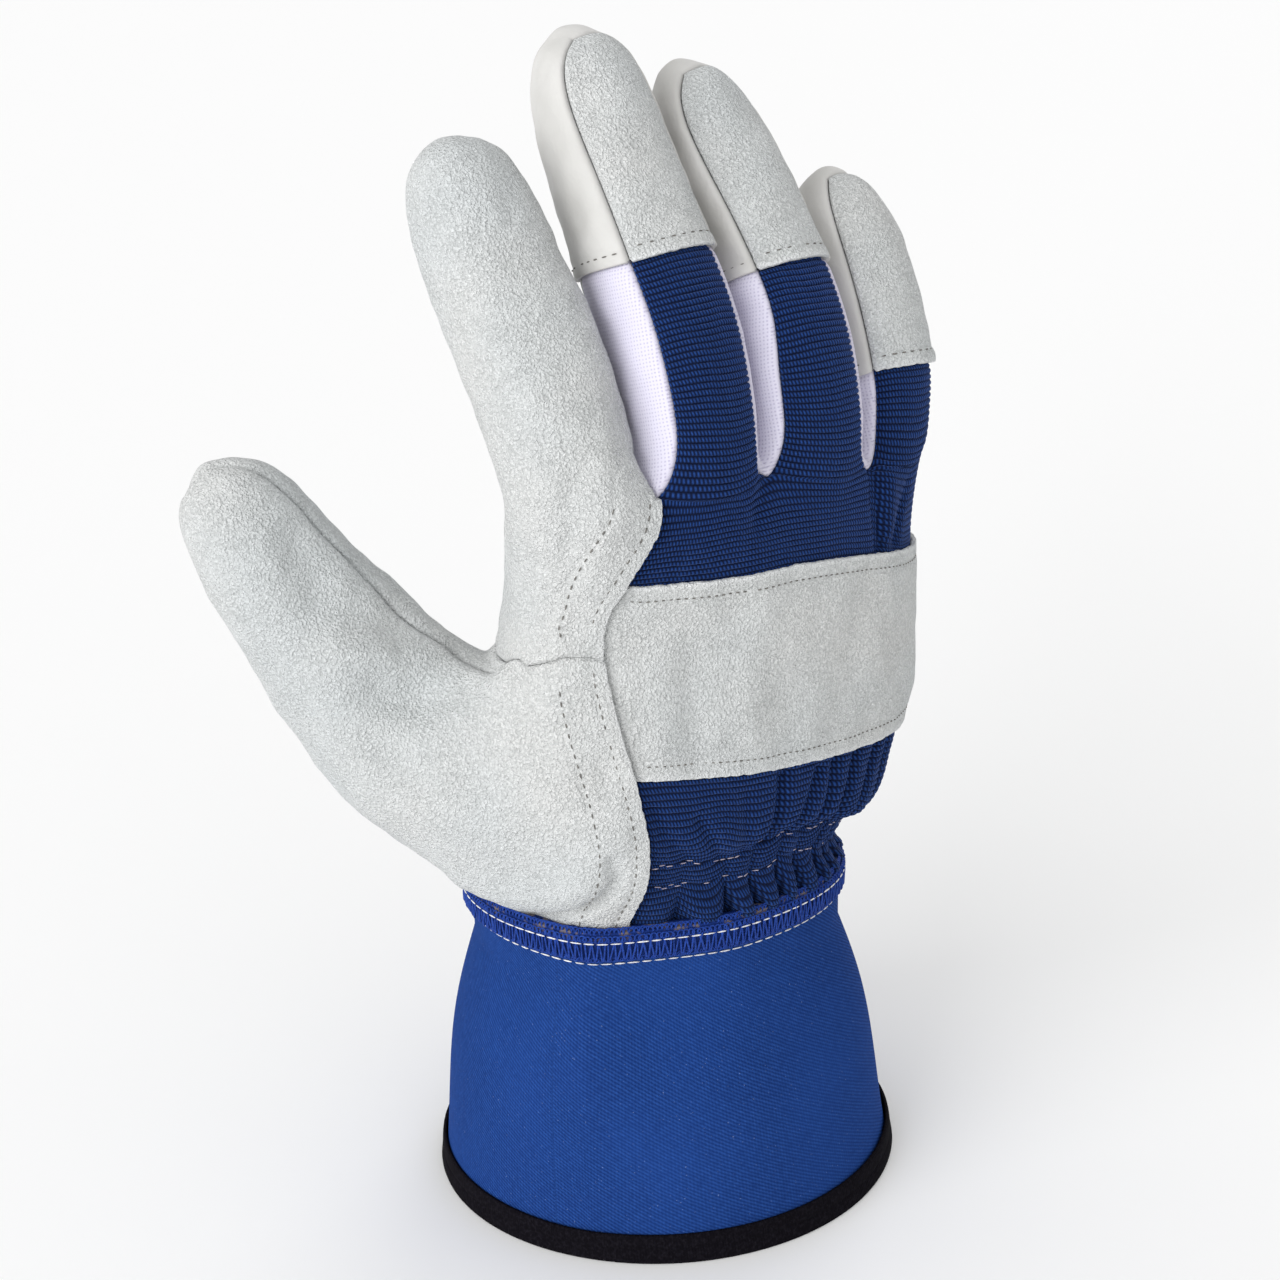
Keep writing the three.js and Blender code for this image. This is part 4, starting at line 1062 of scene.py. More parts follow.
def overlocked_edge():
    """The canvas edge under its overlock threads: blue drill painted dark as their shadow, tan lint at the
    cut.

    cloth.y is the share of the band's height, 1 at the cut edge.
    """
    made, tree, where = patterned("overlocked_edge")
    axes = cloth_axes(tree)
    fuzz = node(tree, "ShaderNodeTexNoise", {"Vector": where, "Scale": 700.0, "Detail": 2.0})
    lint = node(tree, "ShaderNodeTexNoise", {"Vector": where, "Scale": 420.0, "Detail": 2.0})
    high = node(tree, "ShaderNodeMapRange", {"Value": axes["Y"], "From Min": 0.55, "From Max": 0.8})
    flecks = node(tree, "ShaderNodeMapRange", {"Value": lint, "From Min": 0.51, "From Max": 0.59,
                                               "To Max": 0.8})
    cut = node(tree, "ShaderNodeMath", {0: high, 1: flecks}, operation="MULTIPLY")
    # Painted shadow of the overlock threads: the drill under them is a darker blue.
    blue = node(tree, "ShaderNodeMix", {"Factor": fuzz, 6: linear("#0d1d52"), 7: linear("#1a377f")},
                data_type="RGBA")
    colour = node(tree, "ShaderNodeMix", {"Factor": cut, 6: blue, 7: linear("#7d736b")}, data_type="RGBA")
    return surface(made, colour, fuzz, 0.5, 0.0003, roughness=0.85, specular_ior_level=0.1)


def finish(make, colours):
    """Each material is made once and shared by its pieces."""
    if make not in _shared:
        _shared[make] = make(colours)
    return _shared[make]


# ---------------------------------------------------------------- stitches

def group(name, sockets):
    """A geometry node tree and the sockets of its inputs, given as (label, kind, value)."""
    tree = bpy.data.node_groups.new(name, "GeometryNodeTree")
    for label, kind, value in sockets:
        socket = tree.interface.new_socket(name=label, in_out="INPUT", socket_type=kind)
        if value is not None:
            socket.default_value = value
    tree.interface.new_socket(name="Geometry", in_out="OUTPUT", socket_type="NodeSocketGeometry")
    return tree, node(tree, "NodeGroupInput").outputs


def spots_along(tree, given):
    """Points along the given rows, one every pitch, and the turn that lays x ahead and z off the surface."""
    rows = node(tree, "GeometryNodeMeshToCurve", {0: given["Geometry"]})
    spots = node(tree, "GeometryNodeResampleCurve", {"Curve": rows, "Length": given["Pitch"]}, mode="LENGTH")
    tangent = node(tree, "GeometryNodeInputTangent")
    facing = node(tree, "GeometryNodeInputNamedAttribute", {"Name": "facing"}, data_type="FLOAT_VECTOR")
    ahead = node(tree, "FunctionNodeAlignRotationToVector", {"Vector": tangent}, axis="X")
    turned = node(tree, "FunctionNodeAlignRotationToVector", {"Rotation": ahead, "Vector": facing}, axis="Z",
                  pivot_axis="X")
    return spots, turned


def stitch_tree(name, thread):
    """Stitches set along paths: one thread bead for each length of the row, some of them missing."""
    tree, given = group(name, [("Geometry", "NodeSocketGeometry", None), ("Pitch", "NodeSocketFloat", 0.002),
                               ("Length", "NodeSocketFloat", 0.0014), ("Thread", "NodeSocketFloat", 0.0004),
                               ("Shown", "NodeSocketFloat", 1.0), ("Seed", "NodeSocketInt", 1)])
    spots, turned = spots_along(tree, given)
    bead = node(tree, "GeometryNodeMeshUVSphere", {"Segments": 8, "Rings": 6, "Radius": 0.5})
    size = node(tree, "ShaderNodeCombineXYZ", {0: given["Length"], 1: given["Thread"], 2: given["Thread"]})
    thread_bead = node(tree, "GeometryNodeTransform", {0: bead, "Scale": size})
    shown = node(tree, "FunctionNodeRandomValue", {"Probability": given["Shown"], "Seed": given["Seed"]},
                 data_type="BOOLEAN")
    stretch = node(tree, "FunctionNodeRandomValue", {0: (0.85, 0.85, 0.8), 1: (1.15, 1.15, 1.1),
                                                     "Seed": given["Seed"]}, data_type="FLOAT_VECTOR")
    sewn = node(tree, "GeometryNodeInstanceOnPoints", {"Points": spots, "Selection": shown,
                                                       "Instance": thread_bead, "Rotation": turned,
                                                       "Scale": stretch})
    real = node(tree, "GeometryNodeRealizeInstances", {0: sewn})
    smooth = node(tree, "GeometryNodeSetShadeSmooth", {0: real})
    painted = node(tree, "GeometryNodeSetMaterial", {0: smooth, "Material": thread})
    node(tree, "NodeGroupOutput", {0: painted})
    return tree


def loop_tree(name, thread):
    """One shaped thread repeated along a path, with small seeded turns and stretches."""
    tree, given = group(name, [("Geometry", "NodeSocketGeometry", None), ("Pitch", "NodeSocketFloat", 0.0015),
                               ("Loop", "NodeSocketObject", None), ("Seed", "NodeSocketInt", 1)])
    spots, turned = spots_along(tree, given)
    shape = node(tree, "GeometryNodeObjectInfo", {"Object": given["Loop"]})
    sway = node(tree, "FunctionNodeRandomValue", {0: (-0.06, -0.1, -0.14), 1: (0.06, 0.1, 0.14),
                                                  "Seed": given["Seed"]}, data_type="FLOAT_VECTOR")
    swayed = node(tree, "FunctionNodeRotateRotation", {0: turned, 1: sway}, rotation_space="LOCAL")
    stretch = node(tree, "FunctionNodeRandomValue", {0: (0.8, 0.9, 0.85), 1: (1.25, 1.08, 1.2),
                                                     "Seed": given["Seed"]}, data_type="FLOAT_VECTOR")
    sewn = node(tree, "GeometryNodeInstanceOnPoints", {"Points": spots, "Instance": shape.outputs["Geometry"],
                                                       "Rotation": swayed, "Scale": stretch})
    real = node(tree, "GeometryNodeRealizeInstances", {0: sewn})
    painted = node(tree, "GeometryNodeSetMaterial", {0: real, "Material": thread})
    node(tree, "NodeGroupOutput", {0: painted})
    return tree


def sew(name, paths, tree, slot, **settings):
    """Lays a tree's stitches along paths, given as (points, facing) pairs in millimetres."""
    points, facing = (np.concatenate(part) for part in zip(*paths))
    edges, start = [], 0
    for path, _ in paths:
        edges += [(start + n, start + n + 1) for n in range(len(path) - 1)]
        start += len(path)
    piece = linked(name, mesh_of(name, points, edges, [], facing=facing))
    modifier = piece.modifiers.new("Stitches", "NODES")
    modifier.node_group = tree
    for item in tree.interface.items_tree:
        if item.in_out == "INPUT" and item.name in settings:
            modifier[item.identifier] = settings[item.name]
    settle(piece)
    if len(piece.data.polygons) == 0:
        raise RuntimeError(f"{name}: no stitches were made")
    place(piece, slot)


def run_length(points):
    """Millimetres along a line of points, from its first one."""
    return np.concatenate([[0], np.cumsum(np.linalg.norm(np.diff(points, axis=0), axis=1))])


def smoothed(points, rounds, closed=False):
    for _ in range(rounds):
        if closed:
            points = (np.roll(points, 1, 0) + 2 * points + np.roll(points, -1, 0)) / 4
        else:
            points = np.concatenate([points[:1], (points[:-2] + 2 * points[1:-1] + points[2:]) / 4,
                                     points[-1:]])
    return points


def seam_row(name, others, inset, lift=0.07, trim=1.5):
    """Rows that follow a panel's edge at a distance, laid on its outer face."""
    panel, outer, tree = _shared[name]
    rows = []
    for run in panel.chains(others):
        if len(run) < SHORTEST_EDGE:
            continue
        line = smoothed(panel.points[run] + panel.pull[run] * inset, 12)
        spots = [tree.find(point)[1] for point in line]
        facing = panel.normals[spots]
        off = np.einsum("ij,ij->i", line - outer[spots], facing)
        laid = line + facing * (lift - off)[:, None]
        along = run_length(laid)
        keep = (along > trim) & (along < along[-1] - trim)
        if keep.sum() >= SHORTEST_ROW:
            rows.append((laid[keep], unit(smoothed(facing, 6))[keep]))
    return rows


# ---------------------------------------------------------------- the wrist and the cuff

def wrist_loop(row_share, height):
    """A loop round the glove between the first two rows of the hand, level height away from the skin.

    The elastic draws it in a little on the little finger's side.
    """
    hand = skin()
    steps = hand.grid.shape[1] - 1
    at = int(round(row_share * steps))
    quads = [hand.place[("hand", 0, j)] for j in range(COLUMNS)]
    points = hand.grid[quads][:, :-1, at].reshape(-1, 3)
    level = unit(hand.facing[quads][:, :-1, at].reshape(-1, 3) * (1, 1, 0))
    drawn = 0.9 * row_share ** 2 * np.clip(level @ (0.79, -0.61, 0), 0, 1) ** 2
    return points + level * (height - drawn * (height > 0))[:, None]


def hem_loop(height):
    """The oval of the cuff's foot, its points straight out from those of the wrist's loop."""
    foot = wrist_loop(0, 0) - (HAND[0]["x"], HAND[0]["y"], 0)
    angle = np.arctan2(foot[:, 1], foot[:, 0])
    turned = angle - HEM_TURN
    reach = 1 / np.hypot(np.cos(turned) / (HEM_LONG + height), np.sin(turned) / (HEM_SHORT + height))
    return np.stack([reach * np.cos(angle), reach * np.sin(angle), np.full(len(foot), HEM_FLOOR)], 1)


def cuff_loop(share, height):
    """A loop round the cuff, which swells out a little between its hem and the end of the hand's tube.

    share is 0 at the hem and 1 at the tube's end, one value or one for each point.
    """
    top = wrist_loop(0, OVER + height)
    share = np.broadcast_to(share, len(top))[:, None]
    loop = hem_loop(height - CANVAS) * (1 - share) + top * share
    swell = CUFF_SWELL * np.sin(math.pi * np.clip(share, 0, 1) ** 1.2)
    return loop + outwards(loop) * swell


def level_loop(z, height):
    """A loop round the cuff at one height over the floor."""
    loop = cuff_loop((z - HEM_FLOOR) / (wrist_loop(0, 0)[:, 2] - HEM_FLOOR), height)
    loop[:, 2] = z
    return loop


def band_loop(drop, height):
    """A loop round the overlocked band, drop millimetres below the cuff's top."""
    top = wrist_loop(1, OVER + height)
    if drop < 0:
        return top - (0, 0, drop)
    share = drop / (HAND[1]["z"] - HAND[0]["z"])
    return top * (1 - share) + wrist_loop(0, OVER + height) * share


def lofted(name, loops, look, round_at, across):
    """A closed ring made of loops, each joined to the next and the last to the first.

    cloth.x runs round the ring at the length of the loop round_at, cloth.y is given for each loop and
    cloth.z is the height.
    """
    size = len(loops[0])
    points = np.concatenate(loops)
    ids = np.arange(len(points)).reshape(-1, size)
    after, ahead = np.roll(ids, -1, 0), np.roll(ids, -1, 1)
    faces = np.stack([ids, after, np.roll(after, -1, 1), ahead], -1).reshape(-1, 4).tolist()
    if signed_volume(points, faces) < 0:
        faces = [face[::-1] for face in faces]
    around = run_length(round_at)
    cloth = np.concatenate([np.stack([around, np.broadcast_to(y, size), loop[:, 2]], 1)
                            for loop, y in zip(loops, across)])
    return make_object(name, points, faces, look, cloth)


def signed_volume(points, faces):
    a, b, c, d = points[np.array(faces)].transpose(1, 0, 2)
    return np.einsum("ij,ij", a, np.cross(b, c) + np.cross(c, d)) / 6


def outwards(loop):
    out = unit(np.cross(np.roll(loop, -1, 0) - np.roll(loop, 1, 0), (0, 0, 1.0)))
    return out * np.sign(np.einsum("ij,ij->i", out, loop - loop.mean(0)).mean())


def round_path(loop):
    """A path for stitches once round a loop, with the way that it faces."""
    return tuple(np.concatenate([part, part[:1]]) for part in (loop, outwards(loop)))


# ---------------------------------------------------------------- the knit back

class Knit:
    """The knit back: points over the hand's back and up the fingers, their cloth places and their height.

    cloth is in millimetres, x across the back from the thumb side and y along it from its hidden lower end.
    """

    COLUMNS = 16
    RIB_ROWS = 5
    CUFFED, WRIST, STRAPPED = 10.0, 50.0, 82.0

    def __init__(self):
        self.parts, self.count = [], 0

    def grid(self, rows, columns):
        """Points and normals (along, across) of rows of the skin's quads."""
        hand = skin()
        at = np.linspace(0, hand.grid.shape[1] - 1, columns + 1).round().astype(int)
        parts = []
        for row in rows:
            strips = []
            for n, q in enumerate(row):
                cells = np.concatenate([hand.grid[q][at], hand.facing[q][at]], -1)
                strips.append(cells[: None if n == len(row) - 1 else -1])
            parts.append(np.concatenate(strips).transpose(1, 0, 2))
        return np.concatenate([p[:-1] for p in parts[:-1]] + [parts[-1]])

    def weave(self, step):
        """Rows of points over the hand and up the fingers, a fifth of a rib apart where they show."""
        m = self.COLUMNS
        place_of = skin().place
        rows = [[place_of[("hand", k, j)] for j in KNIT_COLUMNS] for k in range(len(HAND) - 1)]
        fine, plain = self.grid(rows, 2 * m), self.grid(rows, m)
        along = self.lengths(fine)
        top = along[-1]
        coarse = self.RIB_ROWS * step
        wrist = np.concatenate([np.arange(0, self.CUFFED, coarse), np.arange(self.CUFFED, self.WRIST, step)])
        hidden = np.arange(self.WRIST + coarse, self.STRAPPED, coarse)
        upper = np.concatenate([hidden, np.arange(self.STRAPPED, top - 0.3 * step, step), [top]])
        low = self.lay(fine, along, wrist, 0, 0)
        high = self.lay(plain, along, upper, 0, 0)
        faces = [self.cells(low)]
        seam = np.stack([low[-1, :-1:2], low[-1, 1::2], low[-1, 2::2], high[0, 1:], high[0, :-1]], 1)
        faces += [seam, self.cells(high)]
        below, above = self.sparse(len(low)), self.sparse(len(high))
        lining = [self.cells(low[below]), seam, self.cells(high[above])]
        sides = self.borders(low, below) + self.borders(high, above)
        sides += [[low[-1, -1], high[0, -1]], [high[0, 0], low[-1, 0]]]
        ends = [list(pair) for pair in zip(low[0, :-1], low[0, 1:])]
        for name, backs, first in (("middle", (0, 1), 0), ("ring", (0, 1), 2), ("pinky", (0, 1, 2), 4)):
            quads = [[place_of[(name, i, side)] for side in backs] for i in range(FINGERS[name][0])]
            first, grid = first * m, self.grid(quads, m)
            up = self.lengths(grid)
            levels = np.append(np.arange(step, up[-1] - 0.3 * step, step), up[-1])
            own = self.lay(grid, up, levels, top, self.parts[1][1][first, 0])
            whole = np.concatenate([high[-1:, first:first + grid.shape[1]], own])
            picked = self.sparse(len(whole))
            faces.append(self.cells(whole))
            lining.append(self.cells(whole[picked]))
            sides += self.borders(whole, picked)
            ends += [list(pair) for pair in zip(own[-1, 1:], own[-1, :-1])]
        data = np.concatenate([part[0] for part in self.parts])
        cloth = np.concatenate([part[1] for part in self.parts])
        return data[:, :3], unit(data[:, 3:]), cloth, faces, lining, sides, ends

    def lay(self, grid, along, levels, start, aside):
        """Samples a grid at these levels and numbers the new points."""
        low = np.clip(np.searchsorted(along, levels) - 1, 0, len(along) - 2)
        share = ((levels - along[low]) / (along[low + 1] - along[low]))[:, None, None]
        points = (grid[low] * (1 - share) + grid[low + 1] * share).reshape(-1, grid.shape[2])
        widths = np.cumsum(np.linalg.norm(np.diff(grid[:, :, :3], axis=1), axis=2), axis=1).mean(0)
        across = np.tile(np.concatenate([[0], widths]), len(levels)) + aside
        self.parts.append((points, np.stack([across, np.repeat(levels + start, grid.shape[1])], 1)))
        ids = self.count + np.arange(len(points)).reshape(len(levels), -1)
        self.count += len(points)
        return ids

    @staticmethod
    def lengths(grid):
        """Millimetres up a grid to each of its rows, the mean of its columns."""
        steps = np.linalg.norm(np.diff(grid[:, :, :3], axis=0), axis=2).mean(1)
        return np.concatenate([[0], np.cumsum(steps)])

    @staticmethod
    def sparse(count):
        """One row for each rib, and the last one."""
        return np.unique(np.append(np.arange(0, count, Knit.RIB_ROWS), count - 1))

    @staticmethod
    def borders(ids, rows):
        """The right border upwards and the left border downwards, cut at the lining's rows."""
        cuts = list(zip(rows[:-1], rows[1:] + 1))
        return [ids[a:b, -1].tolist() for a, b in cuts] + [ids[a:b, 0][::-1].tolist() for a, b in cuts]

    @staticmethod
    def cells(ids):
        """The faces between rows of points."""
        return np.stack([ids[:-1, :-1], ids[:-1, 1:], ids[1:, 1:], ids[1:, :-1]], -1).reshape(-1, 4)

    @staticmethod
    def rib(turns):
        """A rounded rib for each whole turn."""
        phase = np.abs((turns % 1.0) * 2 - 1)
        return np.sqrt(np.clip(1 - phase ** 2.4, 0, 1))

    @staticmethod
    def sag(cloth):
        """How far the ribs stray along the knit: they wander a little, and more where it is gathered."""
        flat = np.column_stack([cloth, np.zeros(len(cloth))])
        across, along = cloth.T
        near_wrist = 1 - eased(along - 30.0, 14.0)
        by_fold = eased(along - 84.0, 6.0) * (1 - eased(along - 96.0, 20.0))
        slide = 0.28 * by_fold * eased(across - 55.5, 3.0) * np.clip(across - 55.5, 0, 12)
        return (0.15 + 0.55 * near_wrist) * ruffle(flat * (1, 0.5, 1), 11.0, 91) + slide

    def height(self, points, cloth, ribs, sizes):
        """Height of the outer face over the skin: ribs, gathers, furrows and the edges."""
        height = -SUNK - 0.1 + sizes.rib_depth / MM * (self.rib(ribs) - 0.6)
        height += self.gathers(cloth, sizes.gather / MM)
        height -= furrowed(points, ("back_knit",))
        panel = Panel("back_knit", EDGE_STEPS, ("knuckle_strap",))
        for other in panel.edge_points:
            near, far = nearby(points, panel.points[panel.edge_points[other]], 3)
            if joint("back_knit", other) == "turned":
                height[near] -= rolled(far, 0.9, 1.6)
            elif joint("back_knit", other) == "under":
                height[near] -= 0.35 * (1 - eased(far, 2.0)) + 0.3 * dip(far, 0.5, 0.5)
        return height

    @staticmethod
    def gathers(cloth, depth):
        """Pleats below the elastic threads, a drawn-in band between them and soft folds above."""
        across, along = cloth.T
        upper, lower = (np.interp(across, *np.array(ELASTIC_ROWS[row]).T) for row in ("upper", "lower"))
        at, deep = np.array([(pleat["across"], pleat["depth"]) for pleat in PLEATS]).T
        lean = 0.06 * (along - 17)
        n = np.clip(np.searchsorted(at, across + lean) - 1, 0, len(at) - 2)
        share = np.clip((across + lean - at[n]) / (at[n + 1] - at[n]), 0, 1)
        size = deep[n] * (1 - share) + deep[n + 1] * share
        tube = (1 - np.abs(2 * share - 1) ** 2.6) - 0.55
        hang = eased(lower - along, 4.0)
        held = eased(along - 10.5, 4.5)
        puff = 0.9 * dip(along, 16.5, 2.6) * np.clip(tube, 0, 1)
        full = np.clip(tube, 0, 1) * (0.25 + 0.75 * held)
        height = depth * size * hang * (np.minimum(tube, 0) + full + puff)
        band = eased(upper - along, 2.5) * (1 - eased(lower - along, 2.5)) * (along < upper + 1)
        height += depth * size * 0.28 * band * tube
        drawn = dip(np.maximum(np.maximum(along - upper, lower - along), 0), 0, 3.2)
        height -= 0.5 * depth * drawn * (0.45 + 0.55 * eased(across, 22.0))
        for line in (upper, lower):
            height -= 0.35 * dip(along, line, 0.55)
        for fold in FOLDS:
            fade = eased(along - upper + 2.0, 3.0)
            height -= 1.2 * fold["depth"] * fade * dip(way_off(cloth, fold["way"]), 0, fold["width"])
        swell = eased(along - upper, 5.0) * (1 - eased(along - upper - 7.0, 10.0))
        height += 1.1 * swell * eased(across, 25.0)
        return height


# ---------------------------------------------------------------- properties

def length_property(name, text, metres):
    return bpy.props.FloatProperty(name=name, description=text, default=metres, unit="LENGTH")


def colour_property(name, text, code):
    return bpy.props.FloatVectorProperty(name=name, description=text, default=linear(code), size=4, min=0,
                                         max=1, subtype="COLOR")


class GloveSizes(bpy.types.PropertyGroup):
    hide: length_property("Hide", "Thickness of the leather", 0.0012)
    rib_pitch: length_property("Rib pitch", "Distance from rib to rib of the knit back", 0.00123)
    rib_depth: length_property("Rib depth", "Height of a rib over its ground", 0.00062)
    wrinkle: length_property("Wrinkle", "Height of the leather's soft wrinkles", 0.00034)
    gather: length_property("Gather", "Depth of the folds where elastic gathers the knit", 0.0043)
    seam_pitch: length_property("Seam pitch", "Stitch length of the leather seams", 0.0021)
    cuff_pitch: length_property("Cuff pitch", "Stitch length of the white rows on the cuff", 0.0027)
    thread: length_property("Thread", "Thickness of the sewing thread", 0.00042)
    loop_pitch: length_property("Loop pitch", "Distance between overlock loops", 0.00145)


class GloveColours(bpy.types.PropertyGroup):
    suede: colour_property("Suede", "Light patches of the suede", "#e6e7e6")
    suede_shade: colour_property("Suede shade", "Dark patches of the suede", "#dce0e1")
    grain: colour_property("Grain leather", "Smooth leather of the fingertip sides", "#cccbc9")
    knit: colour_property("Knit", "Ribbed knit back", "#0f1e43")
    fork: colour_property("Finger fabric", "Fine knit between the fingers", "#d7d4e4")
    drill: colour_property("Drill", "Canvas of the cuff", "#163577")
    tape: colour_property("Tape", "Binding of the hem", "#0e0c11")
    overlock: colour_property("Overlock", "Overlock threads", "#22469c")
    seam_thread: colour_property("Seam thread", "Thread of the leather seams, in its own shadow", "#817e79")
    white_thread: colour_property("White thread", "Thread of the cuff's rows and the elastic", "#f2f2f0")


# ---------------------------------------------------------------- operators

def leather_pieces(context, names, title, slot, make, seed, *cut):
    """Makes these panels of leather, alike but for their wrinkles."""
    sizes = context.scene.glove_sizes
    look = finish(make, context.scene.glove_colours)
    for n, name in enumerate(names):
        panel = Panel(name, LEATHER_STEPS)
        height = leather_height(panel, sizes, seed + n)
        clad(f"{title}_{name}", panel, height, sizes.hide / MM, LINING_STEPS, look, slot, *cut)


class GLOVE_OT_leather_panels(bpy.types.Operator):
    """Suede palm, index finger, thumb and fingertip backs"""
    bl_idname = "glove.leather_panels"
    bl_label = "Leather panels"

    def execute(self, context):
        leather_pieces(context, LEATHERS, "suede", "suede", split_suede, 1, FRAY, cut_rim)
        return {"FINISHED"}


class GLOVE_OT_gussets(bpy.types.Operator):
    """Smooth leather sides and tips of the middle, ring and little fingers"""
    bl_idname = "glove.gussets"
    bl_label = "Grain leather gussets"

    def execute(self, context):
        leather_pieces(context, GUSSETS, "grain", "grain_leather", grain_leather, 11)
        return {"FINISHED"}


class GLOVE_OT_forks(bpy.types.Operator):
    """Fine white knit between the fingers"""
    bl_idname = "glove.forks"
    bl_label = "Finger forks"

    def execute(self, context):
        look = finish(cotton_interlock, context.scene.glove_colours)
        for seed, name in enumerate(FORKS):
            panel = Panel(name, FORK_STEPS)
            height = np.zeros(len(panel.points))
            near = np.full(len(height), REACH)
            for other in panel.edge_points:
                distance = panel.distance((other,))
                near = np.minimum(near, distance)
                if joint(name, other) == "under":
                    height -= 0.5 * (1 - eased(distance, 2.5))
                else:
                    height -= rolled(distance, 0.9, 1.5)
            height += 0.12 * ruffle(panel.points, 8.0, seed + 21) * eased(near, 3.0)
            clad(f"fabric_{name}", panel, height, FORK_WALL, LINING_STEPS, look, "finger_fabric",
                 cloth=self.cloth)
        return {"FINISHED"}

    @staticmethod
    def cloth(_, points):
        """Millimetres across and along the fingers, from the place itself."""
        lean = 0.35
        across, along = points[:, 1] - lean * points[:, 2], points[:, 2] + lean * points[:, 1]
        return np.stack([across, along, np.zeros(len(points))], 1)


class GLOVE_OT_back_knit(bpy.types.Operator):
    """Ribbed elastic knit back, gathered at the wrist"""
    bl_idname = "glove.back_knit"
    bl_label = "Knit back"

    def execute(self, context):
        sizes, colours = context.scene.glove_sizes, context.scene.glove_colours
        pitch = sizes.rib_pitch / MM
        knit = Knit()
        points, normals, cloth, faces, lining, sides, ends = knit.weave(pitch / knit.RIB_ROWS)
        ribs = (cloth[:, 1] + knit.sag(cloth)) / pitch
        height = knit.height(points, cloth, ribs, sizes)
        outer = points + normals * height[:, None]
        deeper = 2.5 * (1 - eased(cloth[:, 1] - 40.0, 6.0))
        inner = points - normals * (SUNK + KNIT_WALL + deeper)[:, None]
        used = np.unique(np.concatenate([np.ravel(part) for part in lining]))
        under = dict(zip(used.tolist(), range(len(points), len(points) + len(used))))
        walls = [face for part in faces for face in part.tolist()]
        walls += [[under[i] for i in reversed(face)] for part in lining for face in part.tolist()]
        walls += [list(reversed(path)) + [under[path[0]], under[path[-1]]] for path in sides + ends]
        face = np.stack([cloth[:, 0], ribs, knit.rib(ribs)], 1)
        look = finish(elastic_rib_knit, colours)
        piece = make_object("knit_back", np.concatenate([outer, inner[used]]), walls, look,
                            np.concatenate([face, face[used]]))
        place(piece, "ribbed_knit", "back_knit")
        _shared["knit"] = (outer, normals, cloth)
        return {"FINISHED"}


class GLOVE_OT_elastic_rows(bpy.types.Operator):
    """Two rows of pale thread that hold the elastic in the knit"""
    bl_idname = "glove.elastic_rows"
    bl_label = "Elastic rows"

    # Millimetres across the knit where the rows start and end, and their points' distance.
    REACH = (0.8, 92, 0.45)

    def execute(self, context):
        sizes = context.scene.glove_sizes
        if "knit" not in _shared:
            raise RuntimeError("the knit back comes first")
        outer, normals, cloth = _shared["knit"]
        tree = lookup(np.column_stack([cloth, np.zeros(len(cloth))]))
        rows = []
        for way in ELASTIC_ROWS.values():
            across = np.arange(*self.REACH)
            waver = 0.25 * np.sin(across * 1.7)
            along = np.interp(across, *np.array(way).T) + waver
            spots = [tree.find((a, b, 0))[1] for a, b in zip(across, along)]
            facing = normals[spots]
            rows.append((smoothed(outer[spots], 1) + facing * 0.42, facing))
        thread = spun_thread("elastic_thread", linear("#c9bfc9"), linear("#8b8298"), 0.1)
        sew("elastic_rows", rows, stitch_tree("elastic_rows", thread), "ribbed_knit", Pitch=0.0017,
            Length=0.0015, Thread=sizes.thread * 0.55, Shown=0.6, Seed=77)
        return {"FINISHED"}


class GLOVE_OT_strap(bpy.types.Operator):
    """Suede strap over the knuckles"""
    bl_idname = "glove.strap"
    bl_label = "Knuckle strap"

    def execute(self, context):
        sizes, colours = context.scene.glove_sizes, context.scene.glove_colours
        panel = Panel("knuckle_strap", STRAP_STEPS)
        height = np.full(len(panel.points), STRAP_PROUD)
        near = panel.distance(tuple(panel.edge_points))
        height += sizes.wrinkle / MM * ruffle(panel.points, 15.0, 31) * eased(near, 5.0)
        height += 0.06 * ruffle(panel.points, 4.5, 32)
        hem = panel.distance(("back_knit",))
        height -= 0.3 * dip(hem, STRAP_ROW, 0.5)
        height += 0.12 * ruffle(panel.points, 6.0, 33) * np.exp(-hem / 4.0)
        sides = panel.distance([o for o in panel.edge_points if o != "back_knit"])
        height -= 0.85 * (1 - eased(sides, 5.0))
        height -= 0.7 * dip(sides, 0.45, 0.5)
        height -= furrowed(panel.points, ("knuckle_strap",))
        look = finish(split_suede, colours)
        clad("suede_knuckle_strap", panel, height, sizes.hide / MM - STRAP_THINNER, STRAP_LINING_STEPS, look,
             "suede", FRAY, cut_rim)
        return {"FINISHED"}


class GLOVE_OT_cuff(bpy.types.Operator):
    """Flared cuff of rubberised drill"""
    bl_idname = "glove.cuff"
    bl_label = "Cuff"

    def execute(self, context):
        look = finish(rubberised_drill, context.scene.glove_colours)
        shares = np.linspace(0, 1, 40)
        outer = [cuff_loop(share, CANVAS) for share in shares]
        for share, loop in zip(shares, outer):
            wave = 0.35 * eased(share, 0.12) * (1 - 0.8 * share) * ruffle(loop, 42.0, 51)
            loop += outwards(loop) * wave[:, None]
        outer += [wrist_loop(t, OVER + CANVAS - 0.5 * t * t) for t in (0.25, 0.5, 0.75, 1)]
        inner = [wrist_loop(t, OVER) for t in (1, 0.5)]
        inner += [cuff_loop(share, 0) for share in (1, 0.75, 0.5, 0.25, 0)]
        loops = outer + inner
        piece = lofted("drill_cuff", loops, look, cuff_loop(0.5, CANVAS), [loop[:, 2] for loop in loops])
        place(piece, "cuff_twill", "cuff")
        return {"FINISHED"}


